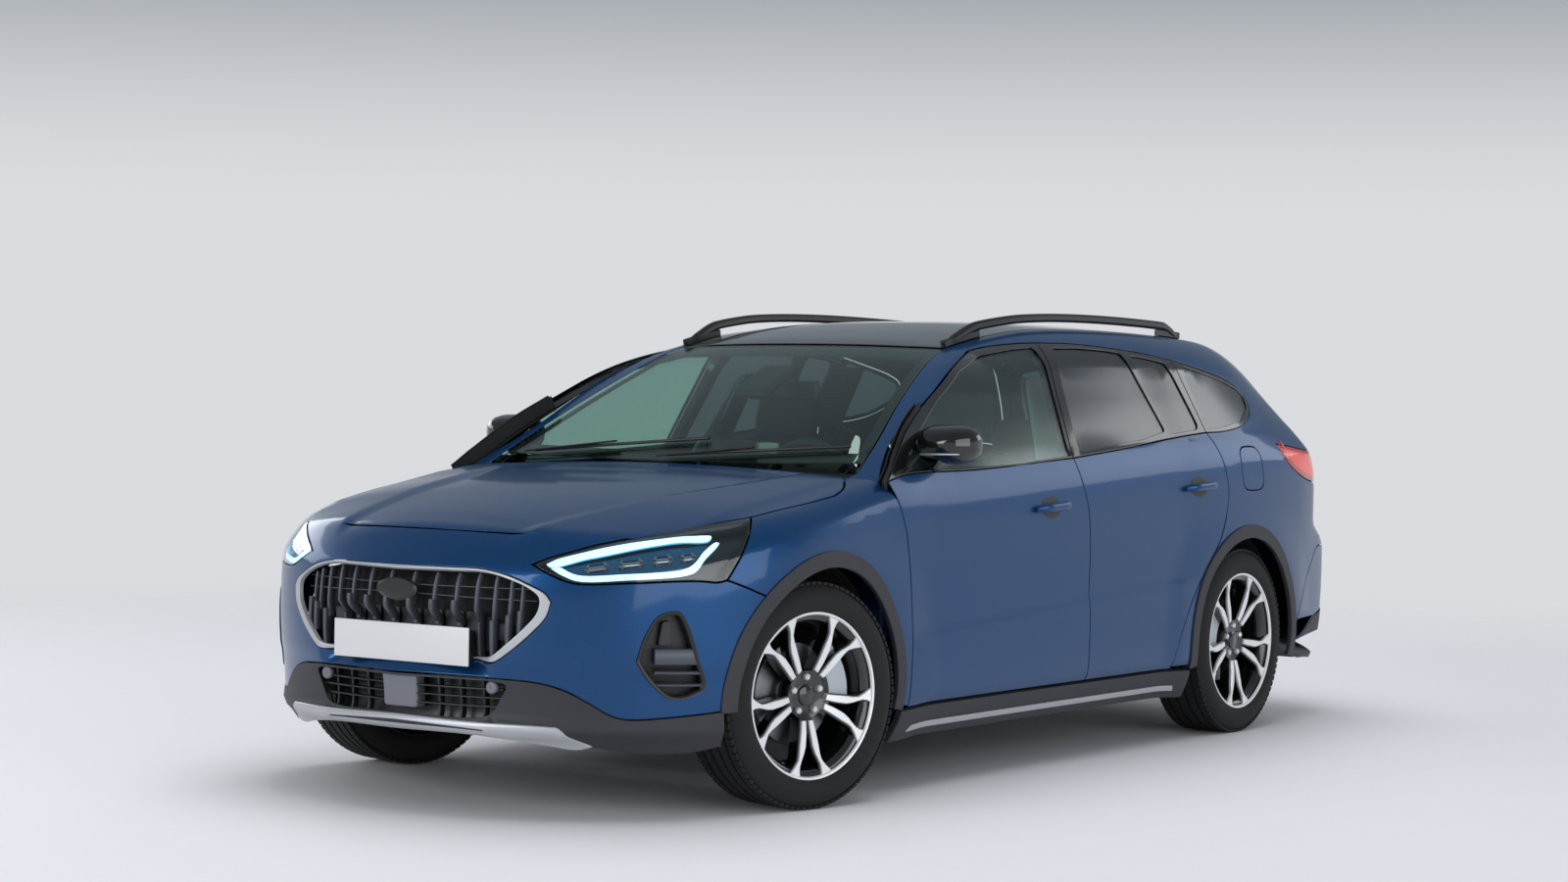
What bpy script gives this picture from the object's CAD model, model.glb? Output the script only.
"""Looks of a compact station wagon with plastic-clad arches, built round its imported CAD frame.

Lengths are millimetres in the car's frame (+X nose, +Y left, +Z up) until a mesh is made.
"""
import logging
import math
from collections.abc import Sequence
from dataclasses import dataclass, field
from enum import Enum

import bpy
import numpy as np
from mathutils import Matrix, Vector
from mathutils.geometry import delaunay_2d_cdt


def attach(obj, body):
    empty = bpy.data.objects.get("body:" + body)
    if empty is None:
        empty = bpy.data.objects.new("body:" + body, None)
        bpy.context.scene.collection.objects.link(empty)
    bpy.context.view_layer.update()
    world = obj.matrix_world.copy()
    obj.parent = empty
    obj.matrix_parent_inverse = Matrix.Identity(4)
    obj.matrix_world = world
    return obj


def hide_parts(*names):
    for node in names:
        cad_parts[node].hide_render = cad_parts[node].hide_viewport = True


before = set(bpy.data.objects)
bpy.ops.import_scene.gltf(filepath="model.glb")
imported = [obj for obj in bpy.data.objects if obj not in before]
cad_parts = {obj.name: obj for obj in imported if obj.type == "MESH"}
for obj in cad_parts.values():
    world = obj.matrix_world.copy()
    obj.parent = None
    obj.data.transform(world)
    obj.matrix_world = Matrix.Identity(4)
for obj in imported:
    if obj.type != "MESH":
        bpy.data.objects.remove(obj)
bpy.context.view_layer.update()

log = logging.getLogger("wagon")
MM = 0.001
NOSE_X = 2340.0
TAIL_X = -2340.0
DOOR_HALF = 902.0
ROOF_Z = 1486.0
FRONT_X = 1445.0
REAR_X = -1255.0
AXLE_Z = 336.0
WHEEL_Y = 786.0
KINGPIN_Y = 722.0
STEER = math.radians(-12.0)
ARCH_IN = 379.0
ARCH_OUT = 428.0
GAP = 2.3
SILL_Z = 268.0
Array = np.ndarray
Points = Sequence[Sequence[float]]


# ---- the body's surface
@dataclass(frozen=True)
class Curve:
    """A smooth curve through a few points, with straight ends."""
    points: tuple[tuple[float, float], ...]

    def __call__(self, x: Array) -> Array:
        """Works out the curve.

        Args:
            x: where.

        Returns:
            Its values, straight past either end.
        """
        px = np.array([p[0] for p in self.points], float)
        py = np.array([p[1] for p in self.points], float)
        n = len(px)
        lo, hi = np.maximum(np.arange(n) - 1, 0), np.minimum(np.arange(n) + 1, n - 1)
        m = (py[hi] - py[lo]) / (px[hi] - px[lo])
        xc = np.clip(x, px[0], px[-1])
        i = np.clip(np.searchsorted(px, xc, side="right") - 1, 0, n - 2)
        h = px[i + 1] - px[i]
        t = (xc - px[i]) / h
        t2, t3 = t * t, t * t * t
        y = py[i] * (2 * t3 - 3 * t2 + 1) + m[i] * h * (t3 - 2 * t2 + t)
        y = y + py[i + 1] * (3 * t2 - 2 * t3) + m[i + 1] * h * (t3 - t2)
        return y + np.minimum(x - px[0], 0) * m[0] + np.maximum(x - px[-1], 0) * m[-1]


def ease(a: float, b: float, x: Array) -> Array:
    """Returns a smooth step from 0 at a to 1 at b."""
    t = np.clip((x - a) / (b - a), 0, 1)
    return t * t * (3 - 2 * t)


def round_max(a: Array, b: Array, r: float) -> Array:
    """Returns the larger of two fields, with a fillet of radius r where they meet."""
    both = np.sqrt(np.maximum(a + r, 0) ** 2 + np.maximum(b + r, 0) ** 2) - r
    return np.where((a > -r) & (b > -r), both, np.maximum(a, b))


class Region(Enum):
    """Which blend of surfaces a panel follows."""
    BONNET = "side, bonnet and nose"
    CABIN = "side, roof, windscreen and tail"
    FLANK = "side and roof alone"


class Chart(Enum):
    """How a panel is laid flat: the directions in which its points are thrown on the surface."""
    SIDE = "x and z, thrown outwards"
    TOP = "x and y, thrown upwards"
    NOSE = "y and z, thrown forwards"
    TAIL = "y and z, thrown backwards"
    WRAP = "round a capsule along the car"
    HATCH = "y and the way up the tail and over its roof edge"


BONNET, CABIN, FLANK = Region
SIDE, TOP, NOSE, TAIL, WRAP, HATCH = Chart


@dataclass(frozen=True)
class BodySurface:
    """The outer surface as a signed field in millimetres, positive outside."""
    width: Curve = Curve(((TAIL_X, DOOR_HALF - 150), (-2150, DOOR_HALF - 95), (-1950, DOOR_HALF - 48),
                          (-1700, DOOR_HALF - 8), (REAR_X, DOOR_HALF + 10), (-700, DOOR_HALF + 3),
                          (-100, DOOR_HALF), (500, DOOR_HALF - 2), (1100, DOOR_HALF + 1),
                          (FRONT_X, DOOR_HALF + 10), (2000, DOOR_HALF + 12)))
    tuck: Curve = Curve(((150, 75), (230, 34), (300, 15), (420, 9), (560, 8), (700, 1), (800, 0), (870, 8),
                         (930, 20), (985, 40), (1010, 53), (1120, 103), (1220, 149), (1320, 192), (1400, 222),
                         (1500, 258)))
    lean: Curve = Curve(((-2100, 300), (-1850, 210), (-1600, 95), (-1400, 40), (-1000, 8), (-600, 0), (0, 0)))
    nose: Curve = Curve(((180, NOSE_X - 90), (230, NOSE_X - 50), (262, NOSE_X - 14), (300, NOSE_X - 28),
                         (400, NOSE_X - 20), (450, NOSE_X - 6), (560, NOSE_X), (700, NOSE_X - 18),
                         (750, NOSE_X - 42), (800, NOSE_X - 80)))
    bonnet: Curve = Curve(((1000, 1008), (1200, 990), (1400, 969), (1600, 946), (1800, 919), (2025, 880),
                           (2150, 850), (2230, 815), (2290, 762)))
    drop: Curve = Curve(((1000, 22), (1200, 30), (1400, 40), (1747, 56), (2025, 86), (2300, 110)))
    roof: Curve = Curve(((-2000, ROOF_Z - 85), (-1850, ROOF_Z - 64), (-1600, ROOF_Z - 36), (-1300, ROOF_Z - 15),
                         (-900, ROOF_Z - 2), (-500, ROOF_Z), (-200, ROOF_Z - 10), (0, ROOF_Z - 32),
                         (150, ROOF_Z - 58), (305, ROOF_Z - 92), (450, ROOF_Z - 130)))
    screen: Curve = Curve(((900, 1296), (1012, 1094), (1100, 930), (1200, 738), (1300, 528), (1363, 380),
                           (1400, 285), (1450, 150)))
    tail: Curve = Curve(((200, TAIL_X + 120), (300, TAIL_X + 60), (400, TAIL_X + 22), (520, TAIL_X + 2),
                         (640, TAIL_X), (700, TAIL_X + 14), (730, TAIL_X + 48), (800, TAIL_X + 58),
                         (900, TAIL_X + 66), (1000, TAIL_X + 92), (1060, TAIL_X + 130), (1150, TAIL_X + 195),
                         (1250, TAIL_X + 275), (1350, TAIL_X + 362), (1440, TAIL_X + 450)))

    flank_roof_end: float = 240.0
    bonnet_fillet: float = 70.0
    roof_fillet: float = 110.0
    screen_fillet: float = 13.0
    tail_fillet: float = 140.0

    def side(self, x: Array, y: Array, z: Array) -> Array:
        """Works out the flank's field; the flank curves in ahead of the front axle.

        Args:
            x: along the car.
            y: across, without its sign.
            z: height.

        Returns:
            Distance outside the flank.
        """
        level = z - 0.048 * np.maximum(700 - x, 0) * ease(300, 900, z)
        half = self.width(x) - self.tuck(level) - self.lean(x) * np.maximum(level - 900, 0) / 400
        ahead = np.maximum(x - FRONT_X, 0) / (self.nose(z) - FRONT_X)
        return half * (np.sqrt(ahead ** 2.7 + (y / half) ** 2) - 1)

    def value(self, p: Array, region: Region) -> Array:
        """Works out the body's field.

        Args:
            p: points, one row each.
            region: surfaces that count.

        Returns:
            Distance outside the body.
        """
        x, y, z = p[:, 0], np.abs(p[:, 1]), p[:, 2]
        side = self.side(x, y, z)
        if region is BONNET:
            return round_max(side, z - self.bonnet(x) + self.drop(x) * (y / 700) ** 2, self.bonnet_fillet)
        over = self.flank_roof_end if region is FLANK else np.inf
        roof = z - self.roof(np.minimum(x, over)) + 26 * (y / 550) ** 2.5
        shell = round_max(side, roof, self.roof_fillet)
        if region is FLANK:
            return shell
        shell = round_max(shell, (x - self.screen(z) + 0.00017 * y * y) / 2.2, self.screen_fillet)
        behind = self.tail(z) + (0.00024 + 0.00014 * ease(640, 760, z)) * y * y - x
        return round_max(shell, behind, self.tail_fillet)

    def relief(self, p: Array) -> Array:
        """Works out the pressed details: arch flares, and door and bonnet creases.

        Args:
            p: points on the body.

        Returns:
            How far they stand out of the smooth surface.
        """
        x, y, z = p[:, 0], np.abs(p[:, 1]), p[:, 2]
        out = np.zeros(len(p))
        low = ease(860, 700, z) * ease(600, 760, y)
        for axle in (FRONT_X, REAR_X):
            r = np.hypot(x - axle, z - AXLE_Z)
            out += 9.0 * ease(640, 430, r) * low
        line = 470 - 0.055 * (x - 900)
        band = ease(1000, 840, x) * ease(-900, -740, x) * ease(600, 760, y)
        out += band * (7.0 * ease(line + 46, line - 12, z) * ease(268, 300, z) - 1.5)
        ridge = 600 - (x - 1130) * 0.25
        hood = ease(1110, 1180, x) * ease(2235, 2120, x) * ease(760, 800, z) * ease(780, 720, y)
        out += hood * (5.0 - 12.0 * ease(ridge + 30, ridge - 30, y))
        out -= 40.0 * ease(345, 268, y) * ease(398, 436, z) * ease(606, 560, z) * ease(2150, 2200, x)
        return out

    def normal(self, p: Array, region: Region) -> Array:
        """Returns the smooth surface's outward normals."""
        g = np.stack([self.value(p + d, region) - self.value(p - d, region) for d in np.eye(3)], axis=1)
        return g / np.linalg.norm(g, axis=1, keepdims=True)

    def cast(self, origin: Array, way: Array, region: Region, lift: float | Array = 0.0) -> Array:
        """Returns where rays leave the body, raised by the relief and by lift.

        Args:
            origin: ray starts inside the body, one row each.
            way: unit directions.
            region: surfaces to meet.
            lift: distance above the surface.

        Returns:
            Points on the body, one row per ray.
        """
        lo, hi = np.zeros(len(origin)), np.full(len(origin), 2600.0)
        for _ in range(22):
            mid = (lo + hi) / 2
            outside = self.value(origin + mid[:, None] * way, region) > 0
            hi, lo = np.where(outside, mid, hi), np.where(outside, lo, mid)
        p = origin + ((lo + hi) / 2)[:, None] * way
        return p + self.normal(p, region) * (self.relief(p) + lift)[:, None]


BODY = BodySurface()
WRAP_R = 900.0
WRAP_Z = 600.0
WRAP_BACK = -1700.0
HATCH_X = -1650.0
HATCH_Z = 1100.0
HATCH_R = 560.0


def rays(chart: Chart, uv: Array) -> tuple[Array, Array]:
    """Lays the rays of a chart.

    Args:
        chart: how the body is laid flat.
        uv: chart coordinates.

    Returns:
        Starts and unit directions.
    """
    u, v = uv[:, 0], uv[:, 1]
    zero, one = np.zeros(len(u)), np.ones(len(u))
    if chart is SIDE:
        return np.stack([u, zero, v], 1), np.stack([zero, one, zero], 1)
    if chart is TOP:
        return np.stack([u, v, zero + 300], 1), np.stack([zero, zero, one], 1)
    if chart is NOSE:
        return np.stack([zero, u, v], 1), np.stack([one, zero, zero], 1)
    if chart is TAIL:
        return np.stack([zero - 600, u, v], 1), np.stack([-one, zero, zero], 1)
    if chart is HATCH:
        a = np.maximum(v - HATCH_Z, 0) / HATCH_R
        return (np.stack([zero + HATCH_X, u, np.minimum(v, HATCH_Z)], 1), np.stack([-np.cos(a), zero, np.sin(a)], 1))
    theta = v / WRAP_R
    phi = (np.maximum(u - FRONT_X, 0) + np.maximum(WRAP_BACK - u, 0)) / WRAP_R
    start = np.stack([np.clip(u, WRAP_BACK, FRONT_X), zero, zero + WRAP_Z], 1)
    along = np.where(u > 0, 1.0, -1.0) * np.sin(phi) * np.cos(theta)
    return start, np.stack([along, np.cos(phi) * np.cos(theta), np.sin(theta)], 1)


def thrown(chart: Chart, uv: Array, region: Region, lift: float | Array = 0.0) -> Array:
    """Returns the points of the body at chart coordinates, raised by lift."""
    return BODY.cast(*rays(chart, uv), region, lift)


def flatten(chart: Chart, p: Array) -> Array:
    """Lays points flat.

    Args:
        chart: how the body is laid flat.
        p: points in space.

    Returns:
        Chart coordinates, one row each.
    """
    x, y, z = p[:, 0], p[:, 1], p[:, 2]
    if chart is SIDE:
        return np.stack([x, z], 1)
    if chart is TOP:
        return np.stack([x, y], 1)
    if chart in (NOSE, TAIL):
        return np.stack([y, z], 1)
    if chart is HATCH:
        a = np.arctan2(z - HATCH_Z, np.maximum(HATCH_X - x, 1.0))
        return np.stack([y, np.where(z > HATCH_Z, HATCH_Z + a * HATCH_R, z)], 1)
    ox = np.clip(x, WRAP_BACK, FRONT_X)
    flat = np.hypot(x - ox, y)
    theta = np.arctan2(z - WRAP_Z, flat)
    phi = np.arctan2(np.abs(x - ox), y)
    return np.stack([ox + np.sign(x - ox) * phi * WRAP_R, theta * WRAP_R], 1)


# ---- lines and outlines
def spline(points: Array, step: float = 9.0) -> Array:
    """Draws a smooth line through control points, or a straight one through two.

    Args:
        points: control points.
        step: distance between the points of the line.

    Returns:
        The line, evenly dense.
    """
    p = np.asarray(points, float)
    if len(p) == 2:
        n = max(int(np.linalg.norm(p[1] - p[0]) / step), 1)
        return p[0] + (p[1] - p[0]) * np.linspace(0, 1, n + 1)[:, None]
    ends = np.vstack([2 * p[0] - p[1], p, 2 * p[-1] - p[-2]])
    out = []
    for a, b, c, d in zip(ends, ends[1:], ends[2:], ends[3:]):
        t = np.cumsum([0.0] + [max(np.linalg.norm(q - r) ** 0.5, 1e-6) for q, r in ((b, a), (c, b), (d, c))])
        n = max(int(np.linalg.norm(c - b) / step), 1)
        s = np.linspace(t[1], t[2], n + 1)[:-1, None]
        ab, bc = a + (b - a) * (s - t[0]) / (t[1] - t[0]), b + (c - b) * (s - t[1]) / (t[2] - t[1])
        cd = c + (d - c) * (s - t[2]) / (t[3] - t[2])
        abc, bcd = ab + (bc - ab) * (s - t[0]) / (t[2] - t[0]), bc + (cd - bc) * (s - t[1]) / (t[3] - t[1])
        out.append(abc + (bcd - abc) * (s - t[1]) / (t[2] - t[1]))
    return np.vstack(out + [p[-1:]])


def seam(view: Chart, points: Points, region: Region = FLANK) -> Array:
    """Draws a line on the body.

    Args:
        view: chart to draw it in.
        points: control points of the chart, or points in space.
        region: surfaces to lie on.

    Returns:
        The line in space.
    """
    p = np.asarray(points, float)
    return thrown(view, spline(flatten(view, p) if p.shape[1] == 3 else p), region)


def rounded(chart: Chart, region: Region, points: Points, step: float = 8.0) -> Array:
    """Returns a smooth closed outline on the body.

    Args:
        chart: view that holds the points.
        region: surfaces to lie on.
        points: control points of the chart, or points in space.
        step: distance between the outline's points.

    Returns:
        The outline in space.
    """
    p = np.array([*points, points[0]], float)
    return thrown(chart, spline(flatten(chart, p) if p.shape[1] == 3 else p, step)[:-1], region)


def cornered(chart: Chart, region: Region, corners: Points, soft: float) -> Array:
    """Returns a straight-sided closed outline on the body.

    Args:
        chart: view that holds the corners.
        region: surfaces to lie on.
        corners: its corners in the chart.
        soft: length over which each corner is rounded.

    Returns:
        The outline in space.
    """
    p = np.asarray(corners, float)
    sides = [spline(np.array([a, b])) for a, b in zip(p, np.roll(p, -1, axis=0))]
    return thrown(chart, loop(*sides, soft=soft), region)


def arc(axle: float, r: float, start: float, end: float, region: Region = FLANK) -> Array:
    """Draws part of a wheel arch on the body.

    Args:
        axle: its x.
        r: radius.
        start: angle in degrees from +X.
        end: angle where it stops.
        region: surfaces to lie on.

    Returns:
        The line in space.
    """
    n = max(int(abs(end - start) * math.radians(1) * r / 9), 2)
    a = np.radians(np.linspace(start, end, n + 1))
    uv = np.stack([axle + r * np.cos(a), AXLE_Z + r * np.sin(a)], 1)
    return thrown(SIDE, uv, region)


def trimmed(line: Array, start: float, end: float) -> Array:
    """Cuts the ends off a line.

    Args:
        line: its points.
        start: length cut off its start.
        end: length cut off its end.

    Returns:
        What is left.
    """
    s = np.concatenate([[0], np.cumsum(np.linalg.norm(np.diff(line, axis=0), axis=1))])
    start, end = min(start, s[-1] * 0.45), min(end, s[-1] * 0.45)
    keep = (s > start) & (s < s[-1] - end)
    cut = [np.array([np.interp(t, s, line[:, k]) for k in range(line.shape[1])]) for t in (start, s[-1] - end)]
    return np.vstack([cut[0], line[keep], cut[1]])


def loop(*lines: Array, soft: float = 0.0) -> Array:
    """Lays lines end to end.

    Args:
        *lines: the lines in order.
        soft: length over which corners are rounded.

    Returns:
        A closed outline.
    """
    if len(lines) == 1:
        return lines[0]
    out = []
    n = len(lines)
    for i, line in enumerate(lines):
        nxt = lines[(i + 1) % n]
        short = trimmed(line, soft, soft) if soft else line
        out.append(short)
        if soft:
            corner = (line[-1] + nxt[0]) / 2
            after = trimmed(nxt, soft, soft)[0]
            t = np.linspace(0, 1, max(int(soft / 3), 3) + 1)[1:-1, None]
            out.append((1 - t) ** 2 * short[-1] + 2 * t * (1 - t) * corner + t ** 2 * after)
    p = np.vstack(out)
    far = np.linalg.norm(p - np.roll(p, 1, axis=0), axis=1) > 0.8
    return p[far]


def area(uv: Array) -> float:
    """Returns a closed outline's signed area."""
    w = np.roll(uv, -1, axis=0)
    return float(np.sum(uv[:, 0] * w[:, 1] - w[:, 0] * uv[:, 1]) / 2)


def inset(uv: Array, dist: float, pinned: Array) -> Array:
    """Moves an anticlockwise outline inwards.

    Args:
        uv: the outline.
        dist: how far.
        pinned: points whose shared edges stay where they are.

    Returns:
        The new outline.
    """
    nxt = np.roll(uv, -1, axis=0)
    e = nxt - uv
    n = np.stack([-e[:, 1], e[:, 0]], 1) / np.maximum(np.linalg.norm(e, axis=1), 1e-9)[:, None]
    d = np.where(pinned & np.roll(pinned, -1), 0.0, dist)
    n0, d0 = np.roll(n, 1, axis=0), np.roll(d, 1)
    det = n0[:, 0] * n[:, 1] - n0[:, 1] * n[:, 0]
    safe = np.where(np.abs(det) < 0.08, 1.0, det)
    mx = (d0 * n[:, 1] - d * n0[:, 1]) / safe
    my = (n0[:, 0] * d - n[:, 0] * d0) / safe
    mean = (n * d[:, None] + n0 * d0[:, None]) / 2
    move = np.where(np.abs(det)[:, None] < 0.08, mean, np.stack([mx, my], 1))
    size = np.linalg.norm(move, axis=1, keepdims=True)
    limit = abs(dist) * 2.5 + 1e-9
    return uv + move * np.minimum(1, limit / np.maximum(size, 1e-9))


def inside(uv: Array, poly: Array) -> Array:
    """Tests points against a closed outline.

    Args:
        uv: the points.
        poly: the outline.

    Returns:
        True for each point that lies in it.
    """
    x, y = uv[:, 0], uv[:, 1]
    hit = np.zeros(len(uv), bool)
    for (x0, y0), (x1, y1) in zip(poly, np.roll(poly, -1, axis=0)):
        if y0 != y1:
            cross = ((y0 > y) != (y1 > y)) & (x < (x1 - x0) * (y - y0) / (y1 - y0) + x0)
            hit ^= cross
    return hit


# ---- meshes
@dataclass
class Draft:
    """A mesh in the making: points in millimetres, normals (zero for automatic) and faces with a finish each."""
    points: list[Array] = field(default_factory=list)
    normals: list[Array] = field(default_factory=list)
    faces: list[tuple[tuple[int, ...], int]] = field(default_factory=list)
    count: int = 0

    def add(self, p: Array, faces: Sequence[Sequence[int]], finish: int = 0, normals: Array | None = None) -> None:
        """Adds points and the faces between them.

        Args:
            p: points, one row each.
            faces: point numbers of each face, counted within p, anticlockwise seen from outside.
            finish: index of the material.
            normals: one row per point, or None for automatic ones.
        """
        p = np.asarray(p, float)
        self.points.append(p)
        self.normals.append(np.zeros_like(p) if normals is None else normals)
        self.faces += [(tuple(int(i) + self.count for i in f), finish) for f in faces]
        self.count += len(p)

    def join(self, other: "Draft", finish: int | None = None) -> "Draft":
        """Takes in another mesh.

        Args:
            other: the mesh.
            finish: material index for all of it, or None to keep its own.

        Returns:
            This draft.
        """
        self.points += other.points
        self.normals += other.normals
        self.faces += [(tuple(i + self.count for i in f), m if finish is None else finish) for f, m in other.faces]
        self.count += other.count
        return self

    def moved(self, matrix: Matrix) -> "Draft":
        """Copies the mesh under a rigid matrix.

        Args:
            matrix: the matrix, in millimetres.

        Returns:
            The copy.
        """
        m = np.array(matrix)
        out = Draft(count=self.count, faces=list(self.faces))
        out.points = [p @ m[:3, :3].T + m[:3, 3] for p in self.points]
        out.normals = [n @ m[:3, :3].T for n in self.normals]
        return out

    def mirrored(self) -> "Draft":
        """Copies the mesh to the car's other side.

        Returns:
            The copy.
        """
        flip = np.array([1.0, -1.0, 1.0])
        out = Draft(count=self.count, faces=[(f[::-1], m) for f, m in self.faces])
        out.points = [p * flip for p in self.points]
        out.normals = [n * flip for n in self.normals]
        return out

    def both(self) -> "Draft":
        """Returns the mesh with its mirror image."""
        return Draft().join(self).join(self.mirrored())

    def build(self, name: str, finishes: Sequence["Finish"], body: str = "body", slot: str = "",
              replaces: Sequence[str] = (), weld: bool = True, sharp: float = 35.0) -> bpy.types.Object:
        """Makes the object, dresses it and lets it ride.

        Args:
            name: the piece's name.
            finishes: materials, in the order of the faces' indices.
            body: CAD body it rides on.
            slot: the record's material slot, if it has one.
            replaces: CAD nodes that it stands for.
            weld: merges points that touch on the middle line.
            sharp: edges that turn by more degrees than this stay sharp where normals are automatic.

        Returns:
            The finished object.
        """
        p, n = np.vstack(self.points), np.vstack(self.normals)
        index = np.arange(len(p))
        if weld:
            middle = np.where(np.abs(p[:, 1]) < 0.4)[0]
            seen: dict[tuple[float, ...], int] = {}
            for i in middle:
                key = tuple(np.round(np.concatenate([p[i][[0, 2]], n[i][[0, 2]] * 4]), 1))
                index[i] = seen.setdefault(key, int(i))
        faces, finish = [], []
        for f, m in self.faces:
            g = [int(index[i]) for i in f]
            if len(set(g)) == len(g):
                faces.append(g)
                finish.append(m)
        used = np.unique(np.concatenate([np.array(g) for g in faces]))
        back = np.zeros(len(p), int)
        back[used] = np.arange(len(used))
        mesh = bpy.data.meshes.new(name)
        mesh.from_pydata((p[used] * MM).tolist(), [], [[int(back[i]) for i in g] for g in faces])
        mesh.polygons.foreach_set("material_index", finish)
        mesh.polygons.foreach_set("use_smooth", [True] * len(faces))
        for f in finishes:
            mesh.materials.append(f.material())
        mesh.validate()
        mesh.set_sharp_from_angle(angle=math.radians(sharp))
        if np.abs(n).max() > 0:
            mesh.normals_split_custom_set_from_vertices(n[used].tolist())
        return dress(linked(name, mesh), body, replaces)


def linked(name: str, mesh: bpy.types.Mesh) -> bpy.types.Object:
    """Puts a mesh in the scene as an object at the origin."""
    obj = bpy.data.objects.new(name, mesh)
    bpy.context.scene.collection.objects.link(obj)
    return obj


def dress(obj: bpy.types.Object, body: str, replaces: Sequence[str] = ()) -> bpy.types.Object:
    """Lets a finished piece ride, and reports it.

    Args:
        obj: the piece.
        body: body that it rides on.
        replaces: CAD nodes that it stands for.

    Returns:
        The piece.
    """
    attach(obj, body)
    if replaces:
        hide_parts(*replaces)
    log.info("%s rides on %s with %d faces", obj.name, body, len(obj.data.polygons))
    return obj


def panel(chart: Chart, region: Region, outline: Array, holes: Sequence[Array] = (), lift: float = 0.0,
          thick: float = 3.0, step: float = 20.0, gap: float = GAP, edge: float = 1.6, finish: int = 0,
          wall: int | None = None) -> Draft:
    """Makes a panel on the body's surface, with rolled edges, a wall and a back.

    Args:
        chart: how it is laid flat for meshing.
        region: surfaces that it follows.
        outline: closed line in space.
        holes: closed lines cut out of it.
        lift: height of its face above the body.
        thick: its thickness, inwards.
        step: mesh size.
        gap: how far it stands back from its outline.
        edge: radius of its rolled edge.
        finish: material index of the face.
        wall: material index of walls and back, or None for the same.

    Returns:
        The panel.
    """
    wall = finish if wall is None else wall
    rings, pins, base = [], [], []
    for k, line in enumerate([outline, *holes]):
        uv = flatten(chart, line)
        pin = np.abs(line[:, 1]) < 0.5
        if (area(uv) > 0) != (k == 0):
            uv, pin = uv[::-1], pin[::-1]
        base.append(inset(uv, gap, pin))
        rings.append(inset(base[-1], edge, pin))
        pins.append(pin)
    lo, hi = rings[0].min(axis=0), rings[0].max(axis=0)
    gu, gv = np.meshgrid(np.arange(lo[0] + step / 2, hi[0], step), np.arange(lo[1] + step / 2, hi[1], step * 0.866))
    gu = gu + (np.arange(len(gu)) % 2 * step / 2)[:, None]
    grid = np.stack([gu.ravel(), gv.ravel()], 1)
    keep = inside(grid, rings[0])
    for r in rings[1:]:
        keep &= ~inside(grid, r)
    grid = grid[keep]
    rim = np.vstack(rings)
    if len(grid):
        near = np.array([np.min(np.sum((rim - g) ** 2, axis=1)) for g in grid])
        grid = grid[near > (0.5 * step) ** 2]
    verts = [Vector(p) for p in np.vstack([rim, grid])]
    edges, n = [], 0
    for r in rings:
        edges += [(n + i, n + (i + 1) % len(r)) for i in range(len(r))]
        n += len(r)
    uv, _, tris, source, _, _ = delaunay_2d_cdt(verts, edges, [], 0, 0.01)
    uv = np.array([tuple(p) for p in uv])
    tris = np.array([tuple(t) for t in tris])
    mid = uv[tris].mean(axis=1)
    keep = inside(mid, rings[0])
    for r in rings[1:]:
        keep &= ~inside(mid, r)
    tris = tris[keep]
    found = {}
    for i, ids in enumerate(source):
        for j in ids:
            found[j] = i
    face, normal = surface_at(chart, region, uv, lift)
    flip = 1.0 if float(np.mean(np.sum(np.cross(face[tris[:, 1]] - face[tris[:, 0]],
                                                face[tris[:, 2]] - face[tris[:, 0]]) * normal[tris[:, 0]],
                                       axis=1))) > 0 else -1.0
    tris = tris if flip > 0 else tris[:, ::-1]
    out = Draft()
    out.add(face, tris, finish, normal)
    out.add(face - normal * thick, tris[:, ::-1], wall, -normal)
    n = 0
    for r, b, pin in zip(rings, base, pins):
        ids = np.array([found.get(n + i, 0) for i in range(len(r))])
        n += len(r)
        low, low_n = surface_at(chart, region, b, lift)
        away = low - face[ids]
        away -= low_n * np.sum(away * low_n, axis=1)[:, None]
        away /= np.maximum(np.linalg.norm(away, axis=1, keepdims=True), 1e-6)
        top = low - low_n * edge * 0.9
        m = len(r)
        a, b2 = np.arange(m), (np.arange(m) + 1) % m
        live = ~(pin & np.roll(pin, -1))
        quad = [(i, j, m + j, m + i) for i, j, ok in zip(a, b2, live) if ok]
        quad = quad if flip < 0 else [q[::-1] for q in quad]
        slope = low_n + away
        slope /= np.linalg.norm(slope, axis=1, keepdims=True)
        out.add(np.vstack([face[ids], top]), quad, finish, np.vstack([normal[ids], slope]))
        out.add(np.vstack([top, low - low_n * thick]), quad, wall, np.vstack([away, away]))
        out.add(np.vstack([low - low_n * thick, face[ids] - normal[ids] * thick]), quad, wall,
                np.vstack([-low_n, -normal[ids]]))
    return out


def surface_at(chart: Chart, region: Region, uv: Array, lift: float) -> tuple[Array, Array]:
    """Works out points of the surface and its normals there.

    Args:
        chart: how the body is laid flat.
        region: surfaces that count.
        uv: chart coordinates.
        lift: height above the body.

    Returns:
        Points and unit normals.
    """
    h = 2.0
    face = thrown(chart, uv, region, lift)
    du = thrown(chart, uv + [h, 0], region, lift) - thrown(chart, uv - [h, 0], region, lift)
    dv = thrown(chart, uv + [0, h], region, lift) - thrown(chart, uv - [0, h], region, lift)
    normal = np.cross(du, dv)
    normal /= np.maximum(np.linalg.norm(normal, axis=1, keepdims=True), 1e-9)
    side = np.sum(normal * BODY.normal(face, region), axis=1, keepdims=True)
    normal = np.where(side < 0, -normal, normal)
    centre = np.abs(face[:, 1]) < 0.5
    normal[centre, 1] = 0
    return face, normal / np.linalg.norm(normal, axis=1, keepdims=True)


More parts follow.
